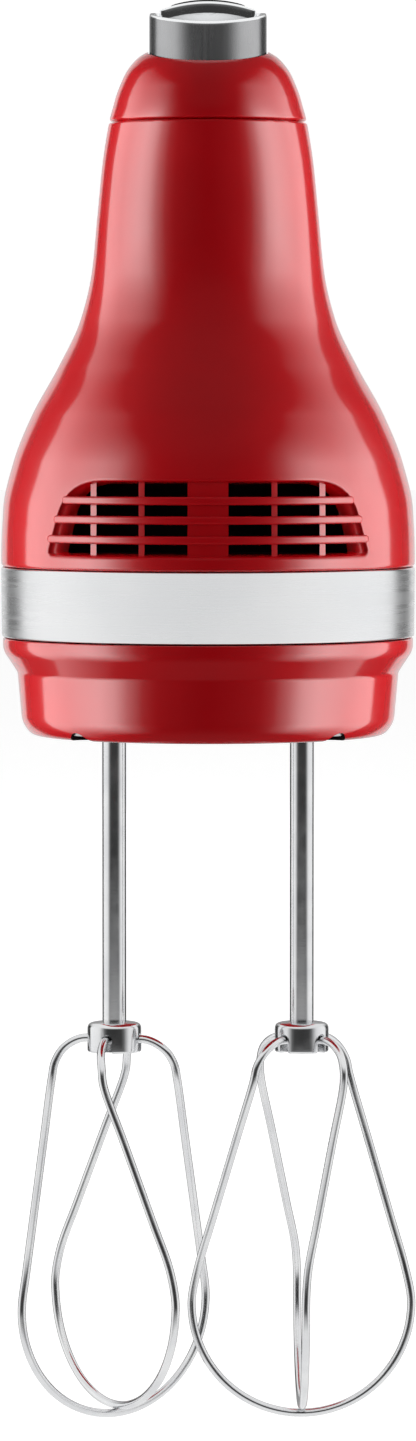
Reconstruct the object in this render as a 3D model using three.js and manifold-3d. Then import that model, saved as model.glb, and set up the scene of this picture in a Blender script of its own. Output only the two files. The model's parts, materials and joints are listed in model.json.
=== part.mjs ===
// A two-beater hand mixer, in millimetres.
//
// The mixer is drawn in its deck frame: Z = 0 is the flat underside of the housing, the two beater axes
// stand at X = -20 and X = +20 with Y = 0, the nose points along -Y and the heel along +Y. The exported group
// then moves it, so that the part's own origin is the middle of the handle's grip.
import * as THREE from "three";
import { mergeVertices } from "three/addons/utils/BufferGeometryUtils.js";
import Module from "manifold-3d";

const wasm = await Module();
wasm.setup();

// ---------------------------------------------------------------- driving dimensions
const BEATER_X = 20; // half the distance between the two beater axes
const BODY_HALF_WIDTH = 44;
const NOSE_Y = -47;
const HEEL_Y = 151; // the flat heel that the mixer stands on when it is set down
const BODY_BACK = 158; // where the plan outline would end if the heel were not flat
const WALL = 2.5;
const PAD_THICKNESS = 1.8;
const GAP = 0.3; // between pieces that touch
const DECK_TOP = 2.5; // top of the floor of the lower housing
const BAND = { low: 20.8, high: 35.9 };
const SEAM_Z = 130.2; // where the handle cover meets the upper housing
const GRIP = { y: 65, z: 134.5 }; // the middle of the grip, the part's origin

const MOTOR_Z = 33; // height of the motor shaft, which is also the middle of the worm
const WORM = { root: 2.7, tip: 5.2, pitch: 4, starts: 2, half: 12, bore: 1.8 };
const GEAR = { teeth: 24, root: 14.3, tip: 16.9, half: 4 };
const GEAR_PITCH_RADIUS = BEATER_X - WORM.pitch;
const AXIAL_PITCH = (2 * Math.PI * GEAR_PITCH_RADIUS) / GEAR.teeth;
const WORM_LEAD = AXIAL_PITCH * WORM.starts;

const SPINDLE = { outer: 4.6, inner: 2.95, low: 3.2, high: 53.5 };
const EJECT_TRAVEL = 6;
const SHAFT_RADIUS = 2.55;
const SHAFT_TOP = 42;
const HUB = { radius: 5.75, top: -61.8, bottom: -67.9 };
const WIRE_RADIUS = 0.85;
const LOOP = { radius: 23.5, middle: -122.1, exitZ: -65.2, lean: 14 }; // lean: degrees from the vertical
const CAP = { radius: 12.45, front: -8.9, back: 19, low: 136, slope: 0.216, topFront: 149.6, flatTop: 153.4 };
const RIDGE = { halfWidth: 10.6, front: 9, back: 13.5, top: 155.8, radius: 23 };
const KNOB = { front: 42, back: 58, top: 157.7, low: 151.6, halfWidth: 9 };
const PLATE = { front: 21.5, back: 64, low: 144.5, high: 151.2, halfWidth: 10.5 };

// ---------------------------------------------------------------- materials
const material = (color, roughness, metalness = 0) =>
  new THREE.MeshStandardMaterial({ color, roughness, metalness });
const LOOKS = {
  red: material(0xa8051a, 0.15),
  trim: material(0xd4d6d8, 0.25, 1),
  cap: material(0x6d6f72, 0.3, 0.9),
  grip: material(0x3a3b3d, 0.7),
  steel: material(0xc9cbcd, 0.15, 1),
  darkPlastic: material(0x2b2c2e, 0.5),
  nylon: material(0xe6e2d6, 0.5),
  bronze: material(0xa9783f, 0.4, 1),
  copper: material(0xb4602f, 0.35, 1),
  iron: material(0x6b6e72, 0.5, 0.9),
  carbon: material(0x1c1c1e, 0.8),
  board: material(0x1d6b3a, 0.5),
  rubber: material(0x1f1f20, 0.9),
};

// ---------------------------------------------------------------- solids and joins
function solid(geometry) {
  const bare = new THREE.BufferGeometry();
  bare.setAttribute("position", geometry.getAttribute("position"));
  bare.setIndex(geometry.index);
  const merged = mergeVertices(bare, 1e-4);
  const triVerts = new Uint32Array(merged.index.array);
  const vertProperties = new Float32Array(merged.attributes.position.array);
  return new wasm.Manifold(new wasm.Mesh({ numProp: 3, vertProperties, triVerts }));
}

function geometryOf(manifold) {
  const mesh = manifold.getMesh();
  const positions = new Float32Array(mesh.numVert * 3);
  for (let i = 0; i < mesh.numVert; i++) {
    positions.set(mesh.vertProperties.subarray(i * mesh.numProp, i * mesh.numProp + 3), i * 3);
  }
  return new THREE.BufferGeometry()
    .setAttribute("position", new THREE.BufferAttribute(positions, 3))
    .setIndex(new THREE.BufferAttribute(new Uint32Array(mesh.triVerts), 1));
}

const join = (...solids) => solids.reduce((a, b) => a.add(b));

function box(x0, x1, y0, y1, z0, z1) {
  const g = new THREE.BoxGeometry(x1 - x0, y1 - y0, z1 - z0);
  return solid(g.translate((x0 + x1) / 2, (y0 + y1) / 2, (z0 + z1) / 2));
}

// A cylinder standing on Z, from low to high.
function post(radius, low, high, x = 0, y = 0, sides = 20) {
  const g = new THREE.CylinderGeometry(radius, radius, high - low, sides).rotateX(Math.PI / 2);
  return solid(g.translate(x, y, (low + high) / 2));
}

// A cylinder lying along Y on the motor's axis, or at height z.
function barrel(radius, front, back, z = MOTOR_Z, sides = 24) {
  const g = new THREE.CylinderGeometry(radius, radius, back - front, sides);
  return solid(g.translate(0, (front + back) / 2, z));
}

// A turned piece standing on Z: outline is a closed list of [radius, height].
function turned(outline, sides = 20) {
  const points = outline.map(([r, z]) => new THREE.Vector2(r, z));
  return solid(new THREE.LatheGeometry(points, sides).rotateX(Math.PI / 2));
}

// The same piece lying along Y on the motor's axis: outline is a closed list of [radius, y].
function turnedAlongY(outline, sides = 24) {
  const points = outline.map(([r, y]) => new THREE.Vector2(r, y));
  return solid(new THREE.LatheGeometry(points, sides).translate(0, 0, MOTOR_Z));
}

const tubeOutline = (inner, outer, low, high) => [
  [inner, low],
  [outer, low],
  [outer, high],
  [inner, high],
  [inner, low],
];

// A closed body through a stack of rings of equal length, each ring convex.
function loft(rings) {
  const count = rings[0].length;
  const positions = rings.flat().flatMap((p) => [p.x, p.y, p.z]);
  const index = [];
  for (let r = 0; r + 1 < rings.length; r++) {
    for (let i = 0; i < count; i++) {
      const a = r * count + i;
      const b = r * count + ((i + 1) % count);
      index.push(a, b, b + count, a, b + count, a + count);
    }
  }
  const last = (rings.length - 1) * count;
  for (let i = 1; i + 1 < count; i++) {
    index.push(0, i + 1, i, last, last + i, last + i + 1);
  }
  const g = new THREE.BufferGeometry();
  g.setAttribute("position", new THREE.Float32BufferAttribute(positions, 3));
  return solid(g.setIndex(index));
}

// A smooth curve of value against height, through a few [height, value] pairs.
function profile(pairs) {
  const heights = pairs.map((p) => p[0]);
  const values = pairs.map((p) => p[1]);
  const curve = new THREE.CubicInterpolant(heights, values, 1, new Float32Array(1));
  return (z) => curve.evaluate(z)[0];
}

// A plan outline at height z: half an ellipse at the nose, a blunter curve towards the back.
function planRing(halfWidth, front, back, z, { middle = 0, blunt = 3.4, steps = 16 } = {}) {
  return Array.from({ length: 2 * steps }, (_, i) => {
    const angle = (i / steps) * Math.PI;
    const across = Math.cos(angle);
    const along = Math.sin(angle);
    const power = along > 0 ? 2 / blunt : 1;
    const x = halfWidth * Math.sign(across) * Math.abs(across) ** power;
    const reach = along > 0 ? (back - middle) * along ** power : (middle - front) * along;
    return new THREE.Vector3(x, middle + reach, z);
  });
}

const beyondHeel = box(-80, 80, HEEL_Y, 220, -20, 200);

// ---------------------------------------------------------------- the housing's outer form
const halfWidthAt = profile([
  [30, 44],
  [35, 44],
  [48, 43.6],
  [58, 41.4],
  [68, 37.4],
  [78, 31.9],
  [88, 27.1],
  [98, 24.7],
  [110, 23.7],
  [122, 22.6],
  [130.2, 21],
  [137, 19],
  [141.3, 16.8],
  [144.3, 13.6],
  [146, 9],
]);
const noseAt = profile([
  [30, -47],
  [35, -47],
  [48, -46],
  [58, -43],
  [68, -37.5],
  [78, -30.5],
  [88, -24.2],
  [98, -19.8],
  [110, -17],
  [122, -16],
  [130.2, -16],
  [137, -14.2],
  [141.3, -11.4],
  [144.3, -7.5],
  [146, -3],
]);
const columnBackAt = profile([
  [30, 34],
  [70, 34],
  [84, 30],
  [100, 26],
  [112, 28],
  [124, 33],
  [146, 33],
]);
const domeWidthAt = profile([
  [30, 44],
  [35, 44],
  [48, 43.4],
  [58, 41],
  [66, 37.2],
  [73, 31.5],
  [78, 25],
  [81, 18.5],
  [84, 8],
]);
const domeHeelAt = profile([
  [30, 158],
  [35, 158],
  [48, 156.5],
  [60, 152.5],
  [68, 147],
  [74, 139],
  [79, 125],
  [84, 90],
]);
const HANDLE_PATH = [
  [6, 124],
  [32, 133.5],
  [65, 134.5],
  [93, 128],
  [115, 114],
  [127, 95],
  [132, 74],
  [132, 58],
];

const evenly = (low, high, count) =>
  Array.from({ length: count }, (_, i) => low + ((high - low) * i) / (count - 1));

// The nose and the front column of the handle, inset by a wall's thickness.
function column(inset, heights, steps) {
  const rings = heights.map((z) => {
    const at = z + inset * 0.3;
    const middle = THREE.MathUtils.mapLinear(z, 35, 146, 0, 7);
    const back = columnBackAt(at) - inset;
    return planRing(halfWidthAt(at) - inset, noseAt(at) + inset, back, z, { middle, blunt: 2.2, steps });
  });
  return loft(rings);
}

// The domed motor housing behind the nose.
function dome(inset, heights, steps) {
  const rings = heights.map((z) => {
    const at = z + inset * 0.4;
    return planRing(domeWidthAt(at) - inset, noseAt(at) + inset, domeHeelAt(at) - inset, z, { steps });
  });
  return loft(rings);
}

// The grip and the rear column, one rounded bar bent in the YZ plane.
function handleBar(inset, count, sides) {
  const path = new THREE.CatmullRomCurve3(HANDLE_PATH.map(([y, z]) => new THREE.Vector3(0, y, z)));
  const rings = evenly(0, 1, count).map((t) => {
    const at = path.getPointAt(t);
    const along = path.getTangentAt(t);
    const up = along.clone().cross(new THREE.Vector3(1, 0, 0));
    const halfWidth = 19 + 3 * Math.max(0, t - 0.7) * 3 - inset;
    const halfDepth = 14.4 + 2.4 * Math.max(0, t - 0.6) * 2.5 - inset;
    return Array.from({ length: sides }, (_, i) => {
      const angle = (i / sides) * 2 * Math.PI;
      const x = Math.sign(Math.cos(angle)) * Math.abs(Math.cos(angle)) ** 0.85 * halfWidth;
      const rise = Math.sign(Math.sin(angle)) * Math.abs(Math.sin(angle)) ** 0.85 * halfDepth;
      return at.clone().add(new THREE.Vector3(x, 0, 0)).addScaledVector(up, rise);
    });
  });
  return loft(rings);
}

const outerForm = join(
  column(0, [35.9, 47, 56, 65, 76, 86, 96, 110, 124, 132, 138, 142, 144.5, 145.8], 11),
  dome(0, [35.9, 49, 60, 69, 76, 80.5, 82.4], 12),
  handleBar(0, 12, 16),
).subtract(beyondHeel);
const innerForm = join(
  column(WALL, [30, 54, 68, 84, 100, 122, 136, 142.5], 7),
  dome(WALL, [30, 56, 68, 79.5], 9),
  handleBar(WALL, 9, 10),
).subtract(box(-80, 80, HEEL_Y - WALL, 220, -20, 200));

// ---------------------------------------------------------------- cooling vent in the nose
const VENT = { low: 39, high: 54.2, halfLow: 32.9, halfHigh: 25 };
const VENT_BARS = [42.2, 46.3, 50.4]; // heights of the three bars
const VENT_RIBS = [-23.6, -13.7, 13.7, 23.6];
const VENT_POST = 4.2; // half-width of the solid middle

function ventOpening() {
  const outline = new THREE.Shape();
  const corner = 7;
  outline.moveTo(-VENT.halfLow, VENT.low);
  outline.lineTo(VENT.halfLow, VENT.low);
  outline.quadraticCurveTo(VENT.halfHigh + corner, VENT.high, VENT.halfHigh - corner, VENT.high);
  outline.lineTo(corner - VENT.halfHigh, VENT.high);
  outline.quadraticCurveTo(-VENT.halfHigh - corner, VENT.high, -VENT.halfLow, VENT.low);
  const prism = new THREE.ExtrudeGeometry(outline, { depth: 60, bevelEnabled: false, curveSegments: 3 });
  const opening = solid(prism.rotateX(Math.PI / 2));
  const bars = VENT_BARS.map((z) => box(-40, 40, -70, 5, z - 0.95, z + 0.95));
  const ribs = VENT_RIBS.map((x) => box(x - 0.6, x + 0.6, -70, 5, 30, 60));
  const middle = box(-VENT_POST, VENT_POST, -70, 5, 30, 60);
  return opening.subtract(join(...bars, ...ribs, middle));
}

// ---------------------------------------------------------------- housing screws and their bosses
const SCREWS = [
  [-25, -27],
  [25, -27],
  [-28, 112],
  [28, 112],
];
const SCREW = { head: 3.2, headLow: 1, headHigh: 3.4, shank: 1.5, tip: 46 };

function housingScrew(x, y) {
  const { head, headLow, headHigh, shank, tip } = SCREW;
  const driver = box(x - 2.2, x + 2.2, y - 0.5, y + 0.5, headLow - 1, headLow + 1);
  const outline = [
    [0, headLow],
    [head, headLow],
    [head, headHigh],
    [shank, headHigh],
    [shank, tip - 2],
    [0, tip],
  ];
  return turned(outline, 8).translate([x, y, 0]).subtract(driver);
}

// ---------------------------------------------------------------- lower housing, band, upper housing, cover
const SKIRT = [
  // [height, inset from the widest outline]
  [0, 6.4],
  [0.8, 5.1],
  [2.5, 4.6],
  [12.6, 3.3],
  [15.8, 1.6],
  [17.9, 0.4],
  [20.6, 0.2],
];

function bodyRing(inset, z, steps = 14) {
  return planRing(BODY_HALF_WIDTH - inset, NOSE_Y + inset, BODY_BACK - inset, z, { steps });
}

function lowerHousing() {
  const outer = loft(SKIRT.map(([z, inset]) => bodyRing(inset, z))).subtract(beyondHeel);
  const hollow = loft([
    bodyRing(8, DECK_TOP),
    bodyRing(6, 12.6),
    bodyRing(3.4, 18.5),
    bodyRing(3.2, 25),
  ]).subtract(box(-80, 80, HEEL_Y - WALL, 220, -20, 60));
  const bosses = SCREWS.map(([x, y]) => post(4.3, 1, 19.6, x, y, 10));
  const feet = [-1, 1].flatMap((sx) => [-1, 1].map((sy) => post(3.5, 1, 10.7, sx * 26, sy * 14, 8)));
  const bores = SCREWS.map(([x, y]) => post(SCREW.shank + 0.35, -1, 30, x, y, 8));
  const heads = SCREWS.map(([x, y]) => post(SCREW.head + 0.45, -1, SCREW.headHigh + GAP, x, y, 12));
  const sockets = [-BEATER_X, BEATER_X].map((x) => post(5.5, -1, 10, x, 0, 20));
  return outer
    .subtract(hollow)
    .add(join(...bosses, ...feet).intersect(outer))
    .subtract(join(...bores, ...heads, ...sockets));
}

function trimBand() {
  const low = BAND.low + 0.1;
  const high = BAND.high - 0.2;
  const outer = loft([bodyRing(0.1, low, 20), bodyRing(0, high, 20)]).subtract(beyondHeel);
  const inner = loft([bodyRing(2.2, low - 5, 20), bodyRing(2.2, high + 5, 20)]);
  return outer.subtract(inner.subtract(box(-80, 80, HEEL_Y - 2.2, 220, -20, 200)));
}

// The eject button's plan outline: a half round at the front and rounded corners at the back.
function capOutline(clearance) {
  const { radius, front, back } = CAP;
  const r = radius + clearance;
  const middle = front + radius;
  const end = back + clearance;
  const corner = 4;
  const outline = new THREE.Shape();
  outline.absarc(0, middle, r, Math.PI, 2 * Math.PI, false);
  outline.lineTo(r, end - corner);
  outline.quadraticCurveTo(r, end, r - corner, end);
  outline.lineTo(corner - r, end);
  outline.quadraticCurveTo(-r, end, -r, end - corner);
  outline.closePath();
  return outline;
}

function standing(outline, low, high, curveSegments = 10) {
  const options = { depth: high - low, bevelEnabled: false, curveSegments };
  return solid(new THREE.ExtrudeGeometry(outline, options).translate(0, 0, low));
}

function roundedRectangle(x0, x1, y0, y1, corner) {
  const outline = new THREE.Shape();
  outline.moveTo(x0 + corner, y0);
  outline.lineTo(x1 - corner, y0);
  outline.quadraticCurveTo(x1, y0, x1, y0 + corner);
  outline.lineTo(x1, y1 - corner);
  outline.quadraticCurveTo(x1, y1, x1 - corner, y1);
  outline.lineTo(x0 + corner, y1);
  outline.quadraticCurveTo(x0, y1, x0, y1 - corner);
  outline.lineTo(x0, y0 + corner);
  outline.quadraticCurveTo(x0, y0, x0 + corner, y0);
  return outline;
}

function plateOutline(clearance) {
  const { halfWidth, front, back } = PLATE;
  const side = halfWidth + clearance;
  return roundedRectangle(-side, side, front - clearance, back + clearance, 4);
}

const shell = outerForm.subtract(innerForm);

const CORD_INLET = { y: 142, z: 66, radius: 8 };
const RELIEF = box(-13.5, 13.5, 34, 100, 100, 121.8); // where the soft grip lies under the handle

function cordBore(radius) {
  const g = new THREE.CylinderGeometry(radius, radius, 40, 20);
  return solid(g.translate(0, CORD_INLET.y, CORD_INLET.z));
}

function upperHousing() {
  const bosses = SCREWS.map(([x, y]) => post(4.3, BAND.high + 0.1, 72, x, y, 10));
  const bores = SCREWS.map(([x, y]) => post(SCREW.shank + 0.35, 30, SCREW.tip + 2, x, y, 8));
  return shell
    .add(join(...bosses).intersect(outerForm))
    .subtract(box(-60, 60, -60, 200, SEAM_Z - 0.15, 200))
    .subtract(ventOpening())
    .subtract(join(...bores))
    .subtract(cordBore(CORD_INLET.radius + GAP))
    .subtract(RELIEF);
}

function handleCover() {
  return shell
    .subtract(box(-60, 60, -60, 200, -20, SEAM_Z + 0.15))
    .subtract(standing(capOutline(0.35), SEAM_Z - 5, 170))
    .subtract(standing(plateOutline(GAP), 138, 170, 4));
}

// The soft pad let into the underside of the handle.
function gripInsert() {
  const pad = box(-13.2, 13.2, 34.3, 99.7, 100, 121.5);
  return pad.intersect(handleBar(-0.6, 12, 16)).subtract(handleBar(WALL - GAP, 12, 12));
}

// ---------------------------------------------------------------- ejector
const ROD_Y = 6;

function ejectButton() {
  const { front, low, slope, topFront, flatTop } = CAP;
  const body = standing(capOutline(0), low, flatTop);
  const hollow = standing(capOutline(-1.8), low - 5, 146.5, 6);
  const above = new THREE.BoxGeometry(60, 60, 20).translate(0, 0, 10).rotateX(Math.atan(slope));
  const dish = new THREE.CylinderGeometry(9.5, 8, 1.2, 20).rotateX(Math.PI / 2 + Math.atan(slope));
  const dished = body
    .subtract(solid(above.translate(0, front, topFront)))
    .subtract(solid(dish.translate(0, front + 12, topFront + 12 * slope - 0.1)));
  return join(dished.subtract(hollow), thumbRidge());
}

// The arched ridge across the button that the thumb pushes against.
function thumbRidge() {
  const { halfWidth, front, back, top, radius } = RIDGE;
  const arch = solid(new THREE.CylinderGeometry(radius, radius, back - front, 56));
  const block = box(-halfWidth, halfWidth, front, back, CAP.topFront, top + 1);
  return arch.translate([0, (front + back) / 2, top - radius]).intersect(block);
}

function ejectorRod() {
  const flange = post(6, 131.2, 132.8, 0, ROD_Y, 16);
  return join(post(3, 63.3, 146.1, 0, ROD_Y, 12), flange);
}

function ejectorFork() {
  const bar = box(-26, 26, -5, 12, 60, 63);
  const pins = [-BEATER_X, BEATER_X].map((x) => post(2.3, SHAFT_TOP + EJECT_TRAVEL + 0.4, 61, x, 0, 12));
  return join(bar, ...pins);
}

class HelixCurve extends THREE.Curve {
  constructor(radius, low, high, turns) {
    super();
    Object.assign(this, { radius, low, high, turns });
  }
  getPoint(t, target = new THREE.Vector3()) {
    const angle = t * this.turns * 2 * Math.PI;
    const z = this.low + (this.high - this.low) * t;
    return target.set(this.radius * Math.cos(angle), this.radius * Math.sin(angle), z);
  }
}

function roundSection(radius, sides) {
  const outline = new THREE.Shape();
  outline.setFromPoints(
    Array.from({ length: sides }, (_, i) => {
      const angle = (i / sides) * 2 * Math.PI;
      return new THREE.Vector2(radius * Math.cos(angle), radius * Math.sin(angle));
    }),
  );
  return outline;
}

function swept(path, radius, sides, steps) {
  return solid(new THREE.ExtrudeGeometry(roundSection(radius, sides), { extrudePath: path, steps }));
}

function ejectorSpring() {
  const helix = new HelixCurve(4.4, 105, 130.4, 7);
  return swept(helix, 0.5, 5, 63).translate([0, ROD_Y, 0]);
}

function ejectorGuide() {
  const z = 101;
  const inset = WALL + GAP + 0.8;
  const ring = (height) =>
    planRing(halfWidthAt(z) - inset, noseAt(z) + inset, columnBackAt(z) - inset, height, {
      middle: 4.1,
      blunt: 2.2,
      steps: 8,
    });
  return loft([ring(z), ring(z + 3)]).subtract(post(3.5, 90, 120, 0, ROD_Y, 16));
}

// ---------------------------------------------------------------- speed control
function switchPlate() {
  const { low, high } = PLATE;
  return standing(plateOutline(0), low, high, 4).subtract(box(-2.5, 2.5, 24.5, 60, low - 1, high + 1));
}

function speedSlider() {
  const { front, back, top, low, halfWidth } = KNOB;
  const crown = new THREE.CylinderGeometry(26, 26, back - front, 64, 1);
  const dome26 = solid(crown.translate(0, (front + back) / 2, top - 26));
  const block = standing(roundedRectangle(-halfWidth, halfWidth, front, back, 3), low, top + 1, 4);
  const dips = [46.2, 50.4, 54.6].map((y) => {
    const dip = new THREE.CylinderGeometry(1.5, 1.5, 40, 12).rotateZ(Math.PI / 2);
    return solid(dip.translate(0, y, top + 0.1));
  });
  return block.intersect(dome26).subtract(join(...dips)).add(box(-1.8, 1.8, 46, 56, 141, low + 1));
}

function contactCarriage() {
  return box(-7, 7, 44, 57, 136, 140.7);
}

function selectorSwitch() {
  const body = box(-9, 9, 26, 62, 126, 135.4);
  return body.subtract(box(-6, 6, 28, 60, 131, 140));
}

// ---------------------------------------------------------------- gearbox
function gearFrame() {
  const plates = [box(-31, 31, -20, 22, 11, 14), box(-31, 31, -20, 22, 48, 51)];
  const walls = [box(-11, 11, -24, -20, 11, 51), box(-31, 31, 20, 24, 11, 51)];
  const bushes = [-BEATER_X, BEATER_X].map((x) => post(6.8 + GAP, 5, 60, x, 0, 16));
  return join(...plates, ...walls).subtract(join(...bushes, barrel(7 + GAP, -30, 30, MOTOR_Z, 16)));
}

function bush(x, low, high) {
  return turned(tubeOutline(SPINDLE.outer + GAP, 6.8, low, high), 16).translate([x, 0, 0]);
}

// The hollow spindle that a beater pushes up into, with a slot at its mouth for the beater's two lugs.
function spindle(x, lugAngle) {
  const tube = turned(tubeOutline(SPINDLE.inner, SPINDLE.outer, SPINDLE.low, SPINDLE.high), 16);
  const slot = new THREE.BoxGeometry(12, 2.2, 12).rotateZ(lugAngle).translate(0, 0, SPINDLE.low);
  return tube.subtract(solid(slot)).translate([x, 0, 0]);
}

// Turns each vertex about Z by an angle in proportion to its height.
function twisted(geometry, anglePerUnit) {
  const p = geometry.getAttribute("position");
  const v = new THREE.Vector3();
  const up = new THREE.Vector3(0, 0, 1);
  for (let i = 0; i < p.count; i++) {
    v.fromBufferAttribute(p, i).applyAxisAngle(up, v.z * anglePerUnit);
    p.setXYZ(i, v.x, v.y, v.z);
  }
  return geometry;
}

function gear(x) {
  const { teeth, root, tip, half } = GEAR;
  const outline = new THREE.Shape();
  const toothAngle = (2 * Math.PI) / teeth;
  const shares = [
    [-0.3, root],
    [-0.12, tip],
    [0.12, tip],
    [0.3, root],
  ];
  const points = Array.from({ length: teeth }, (_, i) =>
    shares.map(([share, r]) => {
      const angle = (i + 0.5 + share) * toothAngle;
      return new THREE.Vector2(r * Math.cos(angle), r * Math.sin(angle));
    }),
  ).flat();
  outline.setFromPoints(points);
  const hole = new THREE.Path();
  hole.absarc(0, 0, SPINDLE.outer + GAP, 0, 2 * Math.PI, true);
  outline.holes.push(hole);
  const options = { depth: 2 * half, steps: 2, bevelEnabled: false, curveSegments: 7 };
  const slant = -WORM_LEAD / (2 * Math.PI * WORM.pitch) / GEAR_PITCH_RADIUS;
  const wheel = twisted(new THREE.ExtrudeGeometry(outline, options).translate(0, 0, -half), slant);
  return solid(wheel.translate(x, 0, MOTOR_Z));
}

// The two-start worm: a two-lobed section that turns as it runs along the shaft.
function worm() {
  const { root, tip, starts, half, bore } = WORM;
  const outline = new THREE.Shape();
  const shares = [
    [-0.38, root],
    [-0.27, root],
    [-0.12, tip],
    [0.12, tip],
    [0.27, root],
    [0.38, root],
  ];
  const points = Array.from({ length: starts }, (_, i) =>
    shares.map(([share, r]) => {
      const angle = ((i + share) / starts) * 2 * Math.PI;
      return new THREE.Vector2(r * Math.cos(angle), r * Math.sin(angle));
    }),
  ).flat();
  outline.setFromPoints(points);
  const hole = new THREE.Path();
  hole.absarc(0, 0, bore, 0, 2 * Math.PI, true);
  outline.holes.push(hole);
  const options = { depth: 2 * half, steps: 22, bevelEnabled: false, curveSegments: 5 };
  const bar = new THREE.ExtrudeGeometry(outline, options).translate(0, 0, -half);
  const thread = twisted(bar, (-2 * Math.PI) / WORM_LEAD);
  return solid(thread.rotateX(-Math.PI / 2).translate(0, 0, MOTOR_Z));
}

// ---------------------------------------------------------------- motor
const STACK = { front: 50, back: 76 };

function motorShaft() {
  const thin = WORM.bore - GAP;
  const outline = [
    [0, -25],
    [2.5, -25],
    [2.5, -13],
    [thin, -13],
    [thin, 13],
    [3, 13],
    [3, 112],
    [0, 112],
  ];
  return turnedAlongY(outline, 16);
}

const ring = (inner, outer, front, back, sides = 18) =>
  turnedAlongY(tubeOutline(inner, outer, front, back), sides);

function armatureCore() {
  const { front, back } = STACK;
  const slots = 10;
  const core = ring(3 + GAP, 15.2, front, back, 30);
  const cuts = Array.from({ length: slots }, (_, i) => {
    const g = new THREE.BoxGeometry(2.2, back - front + 4, 6).translate(0, (front + back) / 2, 14);
    return solid(g.rotateY((i / slots) * 2 * Math.PI).translate(0, 0, MOTOR_Z));
  });
  return core.subtract(join(...cuts));
}

function fan() {
  const blades = 9;
  const disc = ring(3 + GAP, 22, 30, 31.6, 24);
  const hub = ring(3 + GAP, 7, 30, 40, 12);
  const vanes = Array.from({ length: blades }, (_, i) => {
    const g = new THREE.BoxGeometry(1.2, 9, 15.5).translate(0, 35.3, 13.9);
    return solid(g.rotateY((i / blades) * 2 * Math.PI).translate(0, 0, MOTOR_Z));
  });
  return join(disc, hub, ...vanes);
}

function coilSector(inner, outer, halfAngle, up) {
  const outline = new THREE.Shape();
  const middle = up ? Math.PI / 2 : -Math.PI / 2;
  outline.absarc(0, 0, outer, middle - halfAngle, middle + halfAngle, false);
  outline.absarc(0, 0, inner, middle + halfAngle, middle - halfAngle, true);
  return outline;
}

// An outline in the XZ plane, pushed along Y from front to back on the motor's axis.
function alongMotor(outline, front, back, curveSegments = 8) {
  const options = { depth: back - front, bevelEnabled: false, curveSegments };
  const g = new THREE.ExtrudeGeometry(outline, options).rotateX(Math.PI / 2);
  return solid(g.translate(0, back, MOTOR_Z));
}

const COIL_HALF_ANGLE = 0.85;

function statorCore() {
  const block = alongMotor(roundedRectangle(-27, 27, -27, 27, 8), STACK.front, STACK.back, 4);
  const slots = [true, false].map((up) =>
    alongMotor(coilSector(15, 23.6, COIL_HALF_ANGLE + 0.03, up), STACK.front - 2, STACK.back + 2),
  );
  return block.subtract(join(barrel(16, STACK.front - 2, STACK.back + 2), ...slots));
}

function fieldCoil(up) {
  return alongMotor(coilSector(16.8, 23.2, COIL_HALF_ANGLE, up), STACK.front - 7, STACK.back + 7);
}

function brushHolder(side) {
  const tube = box(11.5, 30, 87.5, 96.5, MOTOR_Z - 4.5, MOTOR_Z + 4.5);
  const placed = tube.subtract(box(10, 28, 89, 95, MOTOR_Z - 3, MOTOR_Z + 3));
  return side > 0 ? placed : placed.mirror([1, 0, 0]);
}

function brush(side) {
  const block = box(10.6, 22, 89.3, 94.7, MOTOR_Z - 2.7, MOTOR_Z + 2.7);
  return side > 0 ? block : block.mirror([1, 0, 0]);
}

function rearBracket() {
  const arms = join(box(-27, 27, 104, 108, MOTOR_Z - 7, MOTOR_Z + 7), barrel(11, 103, 109));
  return arms.subtract(barrel(8 + GAP, 100, 112));
}

// ---------------------------------------------------------------- mains side
function cordInlet() {
  const { radius, y, z } = CORD_INLET;
  const outline = [
    [4, y - 12],
    [radius, y - 12],
    [radius, y + 4],
    [radius - 2.5, y + 8],
    [4, y + 8],
    [4, y - 12],
  ];
  return turnedAlongY(outline, 20).translate([0, 0, z - MOTOR_Z]);
}

const terminalBlock = () =>
  box(-10, 10, 116, 126, 52, 60).subtract(join(box(-8, -2, 112, 130, 54, 58), box(2, 8, 112, 130, 54, 58)));

const cordClamp = () => box(-8, 8, 112, 124, 62, 66).subtract(cordBore(4.5));

const speedBoard = () => box(-22, 22, 114, 115.6, 12, 48);

// A rubber strip across the flat heel, between two heights.
function heelPad(low, high) {
  const strip = standing(roundedRectangle(-17, 17, low, high, 3), 0, PAD_THICKNESS, 3);
  return strip.rotate([90, 0, 0]).translate([0, HEEL_Y + GAP + PAD_THICKNESS, 0]);
}

// ---------------------------------------------------------------- beaters
// A point at a radius, an angle from straight ahead (towards +X) and a height.
function polar(radius, degrees, z) {
  const a = THREE.MathUtils.degToRad(degrees);
  return new THREE.Vector3(radius * Math.sin(a), -radius * Math.cos(a), z);
}

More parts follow.
